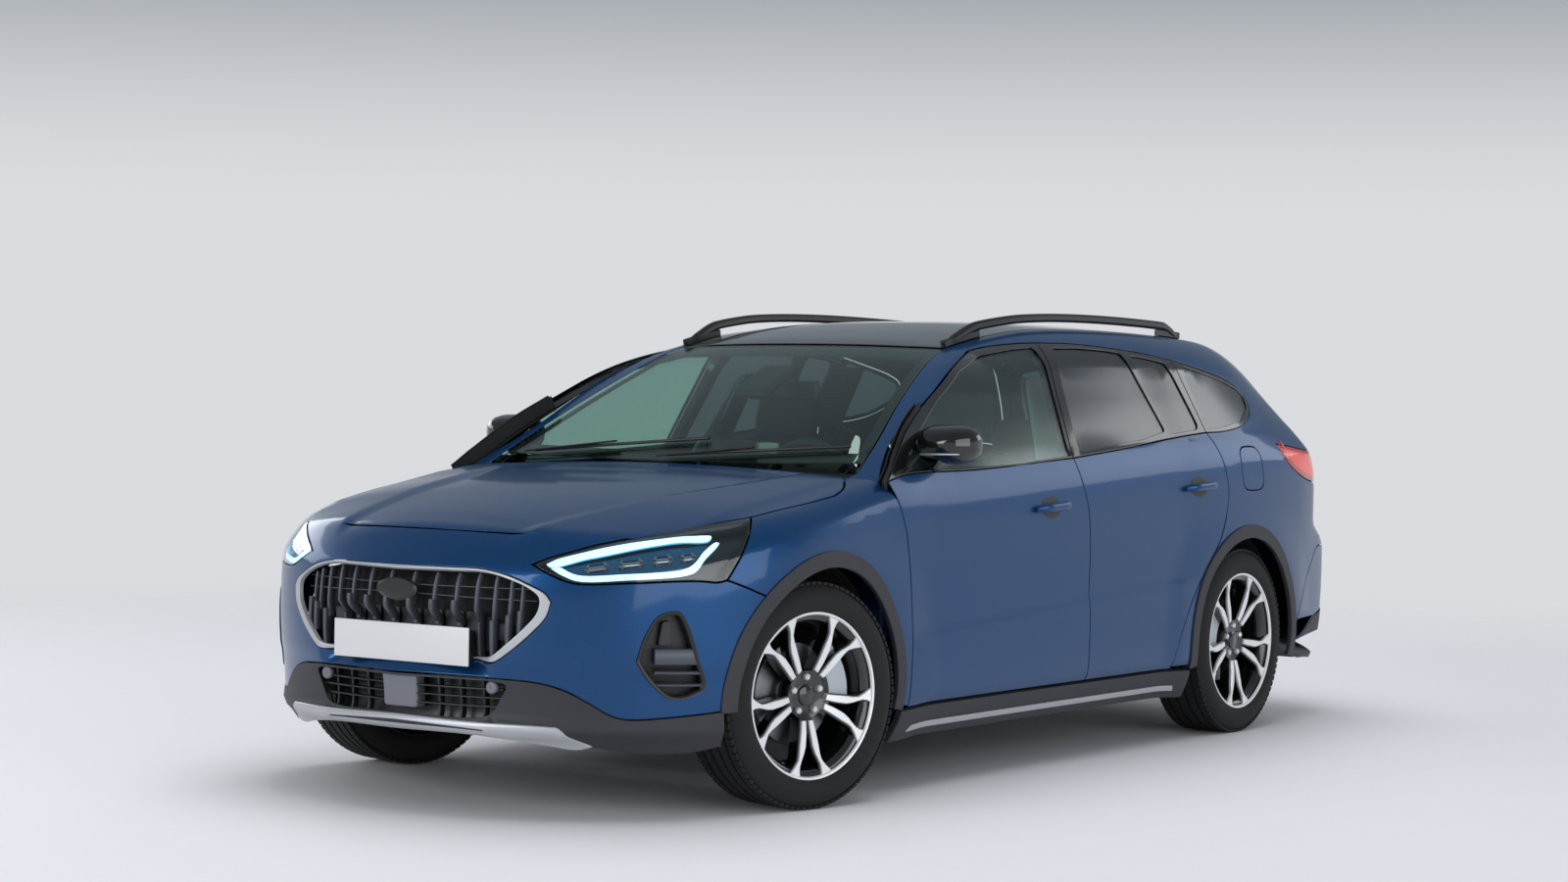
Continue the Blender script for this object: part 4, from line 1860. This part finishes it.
# ---- repeated things
class Copies:
    """Geometry Nodes that set copies of a small mesh round an axis or along a line."""

    def __init__(self, turned: bool) -> None:
        """Builds the node tree.

        Args:
            turned: turns the copies round +Y instead of along a line.
        """
        self.tree = bpy.data.node_groups.new("copies_turned" if turned else "copies_in_line", "GeometryNodeTree")
        face = self.tree.interface
        for name, kind, way in (("Geometry", "NodeSocketGeometry", "INPUT"), ("Count", "NodeSocketInt", "INPUT"),
                                ("Step", "NodeSocketVector", "INPUT"), ("Turn", "NodeSocketVector", "INPUT"),
                                ("Finish", "NodeSocketMaterial", "INPUT"), ("Geometry", "NodeSocketGeometry",
                                                                            "OUTPUT")):
            face.new_socket(name=name, in_out=way, socket_type=kind)
        given = node(self.tree, "NodeGroupInput").outputs
        line = node(self.tree, "GeometryNodeMeshLine", links={"Count": given["Count"], "Offset": given["Step"]})
        number = node(self.tree, "GeometryNodeInputIndex")
        turn = node(self.tree, "ShaderNodeVectorMath", links={0: given["Turn"], 1: number.outputs[0]},
                    operation="MULTIPLY")
        cast = node(self.tree, "FunctionNodeEulerToRotation", links={0: turn.outputs[0]})
        place = node(self.tree, "GeometryNodeInstanceOnPoints", links={
            "Points": line.outputs[0], "Instance": given["Geometry"], "Rotation": cast.outputs[0]})
        real = node(self.tree, "GeometryNodeRealizeInstances", links={"Geometry": place.outputs[0]})
        paint = node(self.tree, "GeometryNodeSetMaterial", links={
            "Geometry": real.outputs[0], "Material": given["Finish"]})
        node(self.tree, "NodeGroupOutput", links={"Geometry": paint.outputs[0]})

    def lay(self, seed: Draft, count: int, finish: Finish, step: Sequence[float] = (0, 0, 0),
            turn: Sequence[float] = (0, 0, 0)) -> Draft:
        """Returns copies of a mesh as a draft.

        Args:
            seed: mesh to copy.
            count: how many.
            finish: material of the copies.
            step: offset from one to the next, in millimetres.
            turn: rotation from one to the next, in radians.

        Returns:
            The copies as one mesh.
        """
        mesh = bpy.data.meshes.new("seed")
        mesh.from_pydata((np.vstack(seed.points) * MM).tolist(), [], [f for f, _ in seed.faces])
        obj = linked("seed", mesh)
        mod = obj.modifiers.new("copies", "NODES")
        mod.node_group = self.tree
        ids = {s.name: s.identifier for s in self.tree.interface.items_tree
               if s.item_type == "SOCKET" and s.in_out == "INPUT"}
        mod[ids["Count"]] = count
        mod[ids["Step"]] = [v * MM for v in step]
        mod[ids["Turn"]] = list(turn)
        mod[ids["Finish"]] = finish.material()
        done = bpy.data.meshes.new_from_object(obj.evaluated_get(bpy.context.evaluated_depsgraph_get()))
        out = Draft()
        out.add(np.array([v.co[:] for v in done.vertices]) / MM, [tuple(p.vertices) for p in done.polygons])
        bpy.data.objects.remove(obj)
        bpy.data.meshes.remove(mesh)
        bpy.data.meshes.remove(done)
        return out


# ---- wheels and brakes
@dataclass
class Wheel:
    """Alloy wheel with five pairs of twin spokes, its tyre, nuts and the brake behind it."""
    tyre_r: float = AXLE_Z
    half: float = 107.0
    rim_r: float = 229.0
    pairs: int = 5
    tread_blocks: int = 88

    def tyre(self, ring: Copies) -> Draft:
        """Makes the tyre, its axle on Y and its outer face to +Y.

        Args:
            ring: tree that repeats the tread blocks.

        Returns:
            The tyre.
        """
        r, w = self.tyre_r, self.half
        prof = [(236, w - 24), (244, w - 14), (251, w - 7), (266, w - 1.5), (284, w), (304, w - 5), (318, w - 13),
                (328, w - 22), (333.5, w - 33)]
        groove = []
        for y in (58, 20, -20, -58):
            groove += [(335, y + 5), (327.5, y + 4), (327.5, y - 4), (335, y - 5)]
        far = [(a, -b) for a, b in reversed(prof)]
        hole = [(232, -w + 34), (229, 0), (232, w - 34)]
        out = lathe([*prof, (335.5, w - 40), *groove, (335.5, -w + 40), *far, *hole], 128)
        block = Draft()
        for y0, y1 in ((w - 44, w - 16), (-w + 16, -w + 44), (-53, -26), (26, 53), (-14, 14)):
            block.join(rounded_box((-9.5, y0, r - 9), (9.5, y1, r - 0.4), 0.8, n=1))
        return out.join(ring.lay(block, self.tread_blocks, TYRE, turn=(0, 2 * math.pi / self.tread_blocks, 0)))

    def barrel(self) -> Draft:
        """Makes the rim's barrel.

        Returns:
            The barrel.
        """
        r, w = self.rim_r, self.half
        prof = [(r + 14, w - 20), (r + 18, w - 21), (r + 17, w - 24), (r + 4, w - 30), (r - 6, w - 42), (r - 16, 20),
                (r - 14, -60), (r - 2, -w + 26), (r + 15, -w + 12), (r + 10, -w + 10), (r - 9, -w + 24),
                (r - 21, -60), (r - 22, 20), (r - 14, w - 40), (r - 5, w - 27), (r + 4, w - 22)]
        return lathe(prof, 96)

    def spokes(self) -> tuple[Draft, Draft]:
        """Makes the five pairs of spokes with the hub.

        Returns:
            The black parts, and their bright turned faces.
        """
        dark, bright = Draft(), Draft()
        # radius, offset from the pair's middle line, width and height of the face
        stations = ((58, 8, 20, 68), (75, 14, 17, 73), (110, 19, 21, 79), (150, 26, 23, 83), (172, 32, 18, 85),
                    (190, 40, 13, 87), (206, 51, 19, 89), (222, 62, 34, 91), (244, 74, 62, 94))
        r, off, width, top = np.array(stations, float).T
        for pair in range(self.pairs):
            a = math.radians(-90 + 360 / self.pairs * pair)
            along, across = np.array([math.cos(a), math.sin(a)]), np.array([-math.sin(a), math.cos(a)])
            for hand in (-1, 1):
                for draft, wide, high, low, first in ((dark, width + 9, top - 7, top - 46, 0),
                                                      (bright, width, top, top - 10, 1)):
                    rings = []
                    for k in range(first, len(r)):
                        mid = along * r[k] + across * hand * off[k]
                        h = wide[k] / 2
                        lo, hi = low[k], high[k]
                        ring = [(mid + across * s, y) for s, y in ((h, lo), (h, hi - 1.5), (h - 1.5, hi),
                                                                  (-h + 1.5, hi), (-h, hi - 1.5), (-h, lo))]
                        rings.append(np.array([(p[0], y, p[1]) for p, y in ring]))
                    draft.join(loft(rings))
        hub = [(0.01, 62), (30, 63), (32, 60), (46, 58), (64, 64), (72, 66), (76, 60), (80, 28), (60, 16), (0.01, 16)]
        dark.join(lathe(hub, 60))
        dark.join(lathe([(0.01, 70), (22, 69.5), (29, 66), (30, 60), (0.01, 58)], 48))
        r0 = self.rim_r
        bright.join(lathe([(r0 + 18.5, 96), (r0 + 18, 99), (r0 + 12, 98), (r0 + 9, 92), (r0 + 12, 90), (r0 + 17, 92)],
                          96))
        return dark, bright

    def nuts(self, ring: Copies) -> Draft:
        """Makes the five nuts between the pairs of spokes.

        Args:
            ring: tree that repeats them.

        Returns:
            The nuts.
        """
        nut = lathe([(0.01, 3), (8, 3), (11, 0), (12, -18), (0.01, -18)], 6)
        first = nut.moved(Matrix.Rotation(math.radians(-90), 4, "Y") @ Matrix.Translation((54, 70, 0)))
        return ring.lay(first, self.pairs, STEEL_BRIGHT, turn=(0, math.radians(360 / self.pairs), 0))

    def build(self, ring: Copies) -> None:
        """Builds the four wheels, tyres, nuts, discs and calipers.

        Args:
            ring: tree that repeats blocks and nuts.
        """
        tyre, barrel, nuts = self.tyre(ring), self.barrel(), self.nuts(ring)
        dark, bright = self.spokes()
        alloy = Draft().join(barrel, 0).join(dark, 0).join(bright, 1).join(nuts, 2)
        disc = lathe([(45, 8), (150, 8), (152, 6), (152, -14), (150, -16), (45, -16)], 72)
        bell = lathe([(0.01, 24), (62, 24), (70, 18), (70, 4), (0.01, 4)], 48)
        brake = Draft().join(disc, 0).join(bell, 0)
        grip = Draft()
        rings = []
        for deg in np.linspace(-28, 28, 9):
            a = math.radians(deg)
            c, s = math.cos(a), math.sin(a)
            rings.append(np.array([(rr * c, y, rr * s) for rr, y in ((104, -36), (184, -36), (194, -12), (194, 30),
                                                                    (178, 52), (104, 52))]))
        grip.join(loft(rings[::-1]))
        for end, x in (("front", FRONT_X), ("rear", REAR_X)):
            for side, hand in (("left", 1), ("right", -1)):
                place = Matrix.Translation((x, 0, AXLE_Z))
                if end == "front":
                    pin = Matrix.Translation((x, hand * KINGPIN_Y, 0))
                    place = pin @ Matrix.Rotation(STEER, 4, "Z") @ pin.inverted() @ place
                own = {k: (v if hand > 0 else v.mirrored()) for k, v in (("tyre", tyre), ("alloy", alloy),
                                                                        ("brake", brake), ("grip", grip))}
                wheel = place @ Matrix.Translation((0, hand * WHEEL_Y, 0))
                own["tyre"].moved(wheel).build(f"tyre_{end}_{side}", [TYRE], f"{end}_wheel_{side}", "tyre",
                                               [f"{end}_tyre_{side}"], weld=False)
                own["alloy"].moved(wheel).build(f"alloy_{end}_{side}", [ALLOY_BLACK, ALLOY_CUT, STEEL_BRIGHT],
                                                f"{end}_wheel_{side}", "wheel", [f"{end}_wheel_{side}"], weld=False)
                own["brake"].moved(wheel).build(f"brake_disc_{end}_{side}", [DISC_IRON], f"{end}_wheel_{side}",
                                                "cast", weld=False)
                hold = f"steering_knuckle_{side}" if end == "front" else "body"
                turn = Matrix.Rotation(math.radians(155 if end == "front" else 25), 4, "Y").inverted()
                own["grip"].moved(wheel @ turn).build(f"caliper_{end}_{side}", [CALIPER], hold, "cast", weld=False)


# ---- cabin
@dataclass
class Cabin:
    """Seats, dashboard, steering wheel, linings and what closes the view inside; puff sizes are in metres."""
    puff_voxel: float = 0.014
    puff_pressure: float = 4.0
    puff_frames: int = 20
    puff_limit: float = 0.012

    def cushion(self, name: str, lo: Sequence[float], hi: Sequence[float], tilt: float, pivot: Sequence[float],
                replaces: Sequence[str] = ()) -> None:
        """Builds a stuffed seat part from a rounded block.

        Args:
            name: the piece's name.
            lo: lowest corner before tilting.
            hi: highest corner.
            tilt: degrees about the pivot, backwards.
            pivot: point that it tilts about.
            replaces: CAD nodes it stands for.
        """
        block = rounded_box(lo, hi, 38)
        turn = Matrix.Translation(pivot) @ Matrix.Rotation(math.radians(-tilt), 4, "Y") @ Matrix.Translation(
            [-c for c in pivot])
        block = block.moved(turn)
        mesh = bpy.data.meshes.new(name)
        mesh.from_pydata((np.vstack(block.points) * MM).tolist(), [], [f for f, _ in block.faces])
        obj = linked(name, mesh)
        bpy.context.view_layer.objects.active = obj
        remesh = obj.modifiers.new("even", "REMESH")
        remesh.mode = "VOXEL"
        remesh.voxel_size = self.puff_voxel
        bpy.ops.object.modifier_apply(modifier="even")
        start = np.array([v.co[:] for v in obj.data.vertices])
        cloth = obj.modifiers.new("cloth", "CLOTH")
        cloth.settings.use_pressure = True
        cloth.settings.uniform_pressure_force = self.puff_pressure
        cloth.settings.effector_weights.gravity = 0
        cloth.settings.tension_stiffness = 25
        cloth.point_cache.frame_end = self.puff_frames
        scene = bpy.context.scene
        for frame_number in range(1, self.puff_frames + 1):
            scene.frame_set(frame_number)
        bpy.ops.object.modifier_apply(modifier="cloth")
        scene.frame_set(1)
        now = np.array([v.co[:] for v in obj.data.vertices])
        move = now - start
        size = np.maximum(np.linalg.norm(move, axis=1, keepdims=True), 1e-9)
        now = start + move * np.minimum(1, self.puff_limit / size)
        obj.data.vertices.foreach_set("co", now.ravel())
        smooth = obj.modifiers.new("smooth", "SMOOTH")
        smooth.iterations = 6
        bpy.ops.object.modifier_apply(modifier="smooth")
        obj.data.polygons.foreach_set("use_smooth", [True] * len(obj.data.polygons))
        obj.data.materials.clear()
        obj.data.materials.append(SEAT_CLOTH.material())
        dress(obj, "body", replaces)

    def seats(self) -> None:
        """Builds the seats."""
        for side, y in (("left", 370), ("right", -370)):
            old = ["front_seats"] if side == "left" else []
            self.cushion(f"front_seat_base_{side}", (90, y - 250, 350), (560, y + 250, 500), 4, (300, y, 400), old)
            self.cushion(f"front_seat_back_{side}", (30, y - 245, 470), (150, y + 245, 1060), 18, (90, y, 470))
            self.cushion(f"front_headrest_{side}", (50, y - 125, 1095), (135, y + 125, 1270), 18, (90, y, 470))
        self.cushion("rear_seat_base", (-900, -620, 360), (-420, 620, 500), 5, (-700, 0, 400), ["rear_seat"])
        self.cushion("rear_seat_back", (-960, -620, 480), (-850, 620, 1010), 20, (-900, 0, 480))
        for k, y in enumerate((-400, 0, 400)):
            self.cushion(f"rear_headrest_{k}", (-955, y - 115, 1040), (-880, y + 115, 1180), 20, (-900, 0, 480))

    def fittings(self) -> None:
        """Builds dashboard, console, pillar linings and floor."""
        dash = [np.array([(620, y, 700), (600, y, 800), (625, y, 905), (680, y, 955), (820, y, 968), (985, y, 962),
                          (1000, y, 800), (960, y, 620), (700, y, 600)]) for y in np.linspace(690, -690, 15)]
        board = loft(dash)
        hood = [np.array([(640 + 16 * t, y, 955), (655, y, 955 + 42 * math.sin(math.pi * t)),
                          (800, y, 960 + 24 * math.sin(math.pi * t)), (800, y, 940), (650, y, 930)])
                for t, y in zip(np.linspace(0.04, 0.96, 11), np.linspace(540, 200, 11))]
        board.join(loft(hood))
        board.join(rounded_box((628, -140, 930), (652, 150, 1062), 6, finish=1))
        board.join(rounded_box((60, -110, 300), (700, 110, 560), 20))
        board.build("dashboard_shell", [SOFT_DARK, GLOSS_BLACK], slot="interior", replaces=["dashboard"], weld=False)
        trim = Draft()
        for corners, lift, thick in (([(-30, 1040), (-215, 1040), (-245, 1360), (-165, 1360)], -118, 12),
                                     ([(-800, 1120), (-1080, 1120), (-1080, 1350), (-860, 1352)], -50, 14)):
            lining = cornered(SIDE, FLANK, corners, 10)
            trim.join(panel(SIDE, FLANK, lining, lift=lift, thick=thick, gap=0, edge=4, step=60))
        trim.both().build("pillar_linings", [LIGHT_TRIM], slot="interior")
        half = loop(SHUT.screen_top()[::-1], SHUT.roof_side(), SHUT.hatch_top())
        lining = panel(TOP, CABIN, mirror_loop(half), lift=-34, thick=8, gap=30, step=80)
        lining.build("headlining", [LIGHT_TRIM], slot="interior")

    def structure(self) -> None:
        """Builds sills, centre pillars and hinge pillars behind the doors."""
        steel = Draft()
        steel.join(rounded_box((-840, 700, 170), (1060, 835, 262), 14))
        for corners, soft, lift, thick in (([(-20, 262), (-200, 262), (-200, 900), (-235, 1376), (-150, 1376),
                                             (-60, 900)], 14, -131, 16), ([(1090, 262), (1010, 262), (1030, 700),
                                                                           (1080, 960), (1110, 960)], 8, -60, 60),
                                           ([(-1150, 700), (-1150, 1110), (-1105, 1105), (-1110, 900), (-1080, 760)],
                                            8, -30, 70)):
            post = cornered(SIDE, FLANK, corners, soft)
            steel.join(panel(SIDE, FLANK, post, lift=lift, thick=thick, gap=0, edge=4, step=80))
        steel.both().build("inner_pillars", [PAINT], slot="paint")
        floor = Draft().join(rounded_box((-1900, -480, 440), (-1130, 480, 452), 4))
        floor.build("load_floor", [CARPET], slot="interior", weld=False)

    def steering(self) -> None:
        """Builds the steering wheel, turned with the front wheels."""
        a = np.linspace(0, 2 * math.pi, 73)[:-1]
        path = np.stack([np.cos(a) * 178, np.zeros(72), np.sin(a) * 178], 1)
        rim = sweep(path, oval(30, 30, 14), up=(0, 1, 0), closed=True)
        rim.join(lathe([(0.01, -28), (52, -26), (62, -10), (62, 18), (40, 26), (0.01, 26)][::-1], 40))
        for deg in (-12, 192, 270):
            c, s = math.cos(math.radians(deg)), math.sin(math.radians(deg))
            way = np.array([(c * r, y, s * r) for r, y in ((50, 6), (110, 2), (172, 0))])
            rim.join(sweep(way, slab(34, 12, 3), up=(0, 1, 0)))
        tilt = math.radians(66)
        turn = Matrix.Translation((733, 370, 900)) @ Matrix.Rotation(math.radians(90) - tilt, 4, "Y")
        turn = turn @ Matrix.Rotation(math.radians(90), 4, "Z") @ Matrix.Rotation(math.radians(156), 4, "Y")
        rim.moved(turn).build("hand_wheel", [SOFT_DARK], "steering_wheel", "interior", ["steering_wheel"], weld=False)

    def build(self) -> None:
        """Builds the cabin."""
        self.seats()
        self.fittings()
        self.structure()
        self.steering()


# ---- CAD pieces that are kept
KEPT = {
    "floor_pan": CHASSIS, "bulkhead": CHASSIS, "engine": CAST_METAL, "front_frame": CHASSIS,
    "wheel_arch_liners": LINER, "rear_axle": CAST_METAL, "exhaust": EXHAUST, "knuckle_left": CAST_METAL,
    "knuckle_right": CAST_METAL,
}


def dress_kept() -> None:
    """Gives the kept CAD pieces their finishes."""
    for name, finish in KEPT.items():
        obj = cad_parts[name]
        obj.data.materials.clear()
        obj.data.materials.append(finish.material())
        log.info("kept %s in %s", name, finish.name)


# ---- stage, light and camera
def place_light(name: str, at: Sequence[float], size: tuple[float, float], power: float, toward: Sequence[float],
                colour: str = "#FFFFFF", mirrored: bool = True) -> None:
    """Adds an area light in metres.

    Args:
        name: its name.
        at: where it stands.
        size: its width and height.
        power: watts.
        toward: point that it faces.
        colour: sRGB hex.
        mirrored: whether shiny pieces show it.
    """
    data = bpy.data.lights.new(name, "AREA")
    data.shape = "RECTANGLE"
    data.size, data.size_y = size
    data.energy = power
    data.color = linear(colour)[:3]
    lamp = bpy.data.objects.new(name, data)
    lamp.location = at
    lamp.visible_glossy = mirrored
    lamp.rotation_euler = (Vector(toward) - Vector(at)).to_track_quat("-Z", "Y").to_euler()
    bpy.context.scene.collection.objects.link(lamp)


def floor_material() -> bpy.types.Material:
    """Makes a pale floor that keeps the car's shadow and fades into the backdrop further out.

    Returns:
        The material.
    """
    mat = Finish("pale_studio_floor", "#DADBDF", roughness=0.6, grain=0.02, grain_mm=40).material()
    tree = mat.node_tree
    place = node(tree, "ShaderNodeTexCoord").outputs["Object"]
    far = node(tree, "ShaderNodeVectorMath", links={0: place}, operation="LENGTH")
    share = node(tree, "ShaderNodeMapRange", {"From Min": 4.2, "From Max": 9.0, "To Min": 1.0, "To Max": 0.0},
                 {"Value": far.outputs["Value"]}, interpolation_type="SMOOTHSTEP")
    shader = next(n for n in tree.nodes if n.bl_idname == "ShaderNodeBsdfPrincipled")
    tree.links.new(share.outputs["Result"], shader.inputs["Alpha"])
    return mat


def build_stage() -> None:
    """Builds a pale floor, soft lights and a sky that fades from a pale horizon to grey overhead."""
    mesh = bpy.data.meshes.new("floor")
    mesh.from_pydata([(-30, -30, 0), (30, -30, 0), (30, 30, 0), (-30, 30, 0)], [], [(0, 1, 2, 3)])
    floor = linked("floor", mesh)
    mesh.materials.append(floor_material())
    place_light("overhead", (0.2, 0.2, 6.5), (9.0, 4.0), 330, (0.4, 0, 0.8), mirrored=False)
    place_light("side_left", (3.0, 10.0, 2.6), (13.0, 4.6), 400, (0.4, 0, 0.5))
    place_light("back_left", (-8.0, 4.4, 3.4), (3.6, 2.4), 48, (-0.5, 0.8, 1.0))
    place_light("front", (10.0, -2.0, 3.2), (6.0, 3.2), 300, (1.6, 0, 0.6))
    place_light("rear", (-9.0, -2.0, 4.0), (5.0, 2.5), 130, (-1.0, 0, 0.8), mirrored=False)
    place_light("side_right", (-0.5, -9.0, 3.6), (8.0, 2.6), 160, (0, 0, 0.6))
    world = bpy.data.worlds.new("studio")
    bpy.context.scene.world = world
    world.use_nodes = True
    tree = world.node_tree
    tree.nodes.clear()
    ray = node(tree, "ShaderNodeLightPath")
    straight = node(tree, "ShaderNodeMath", links={0: ray.outputs["Is Camera Ray"],
                                                   1: ray.outputs["Is Transmission Ray"]}, operation="MAXIMUM")
    seen = node(tree, "ShaderNodeMath", links={0: straight.outputs[0], 1: ray.outputs["Is Glossy Ray"]},
                operation="MAXIMUM")
    height = node(tree, "ShaderNodeSeparateXYZ", links={0: node(tree, "ShaderNodeTexCoord").outputs["Generated"]})
    up = node(tree, "ShaderNodeMapRange", {"From Min": 0.055, "From Max": 0.17}, {"Value": height.outputs["Z"]},
              interpolation_type="SMOOTHSTEP")
    backdrop = node(tree, "ShaderNodeMix", {6: linear("#DFE1E4"), 7: linear("#8A939C")}, {0: up.outputs["Result"]},
                    data_type="RGBA")
    shown = node(tree, "ShaderNodeMix", {6: linear("#A9ABB0")}, {0: seen.outputs[0], 7: backdrop.outputs[2]},
                 data_type="RGBA")
    back = node(tree, "ShaderNodeBackground", {"Strength": 0.95}, {"Color": shown.outputs[2]})
    node(tree, "ShaderNodeOutputWorld", links={"Surface": back.outputs[0]})


def build_camera() -> None:
    """Stands the camera ahead and to the left of the car, a little above its bonnet."""
    az, el, roll = math.radians(125.414), math.radians(1.071), 0.01534
    back = Vector((math.sin(az) * math.cos(el), -math.cos(az) * math.cos(el), math.sin(el)))
    right = Vector((math.cos(az), math.sin(az), 0))
    up = back.cross(right)
    turned = right * math.cos(roll) + up * math.sin(roll)
    upright = up * math.cos(roll) - right * math.sin(roll)
    data = bpy.data.cameras.new("camera")
    data.lens = 69.9
    data.sensor_width = 36
    camera = bpy.data.objects.new("camera", data)
    camera.matrix_world = Matrix.Translation((8.8124, 5.9730, 1.2507)) @ Matrix(
        (turned, upright, back)).transposed().to_4x4()
    bpy.context.scene.collection.objects.link(camera)
    bpy.context.scene.camera = camera
    bpy.context.scene.view_settings.view_transform = "Standard"


def main() -> None:
    """Builds the car in order, then its stage."""
    logging.basicConfig(level=logging.INFO, format="%(message)s")
    BodyPanels().build()
    FLAP.build()
    TAIL_LAMP.build()
    Nose().build()
    Bonnet().build()
    Doors().build()
    Mirror().build()
    Glass().build()
    Tail().build()
    Trim().build()
    Wheel().build(Copies(turned=True))
    Cabin().build()
    dress_kept()
    build_stage()
    build_camera()


if __name__ == "__main__":
    main()
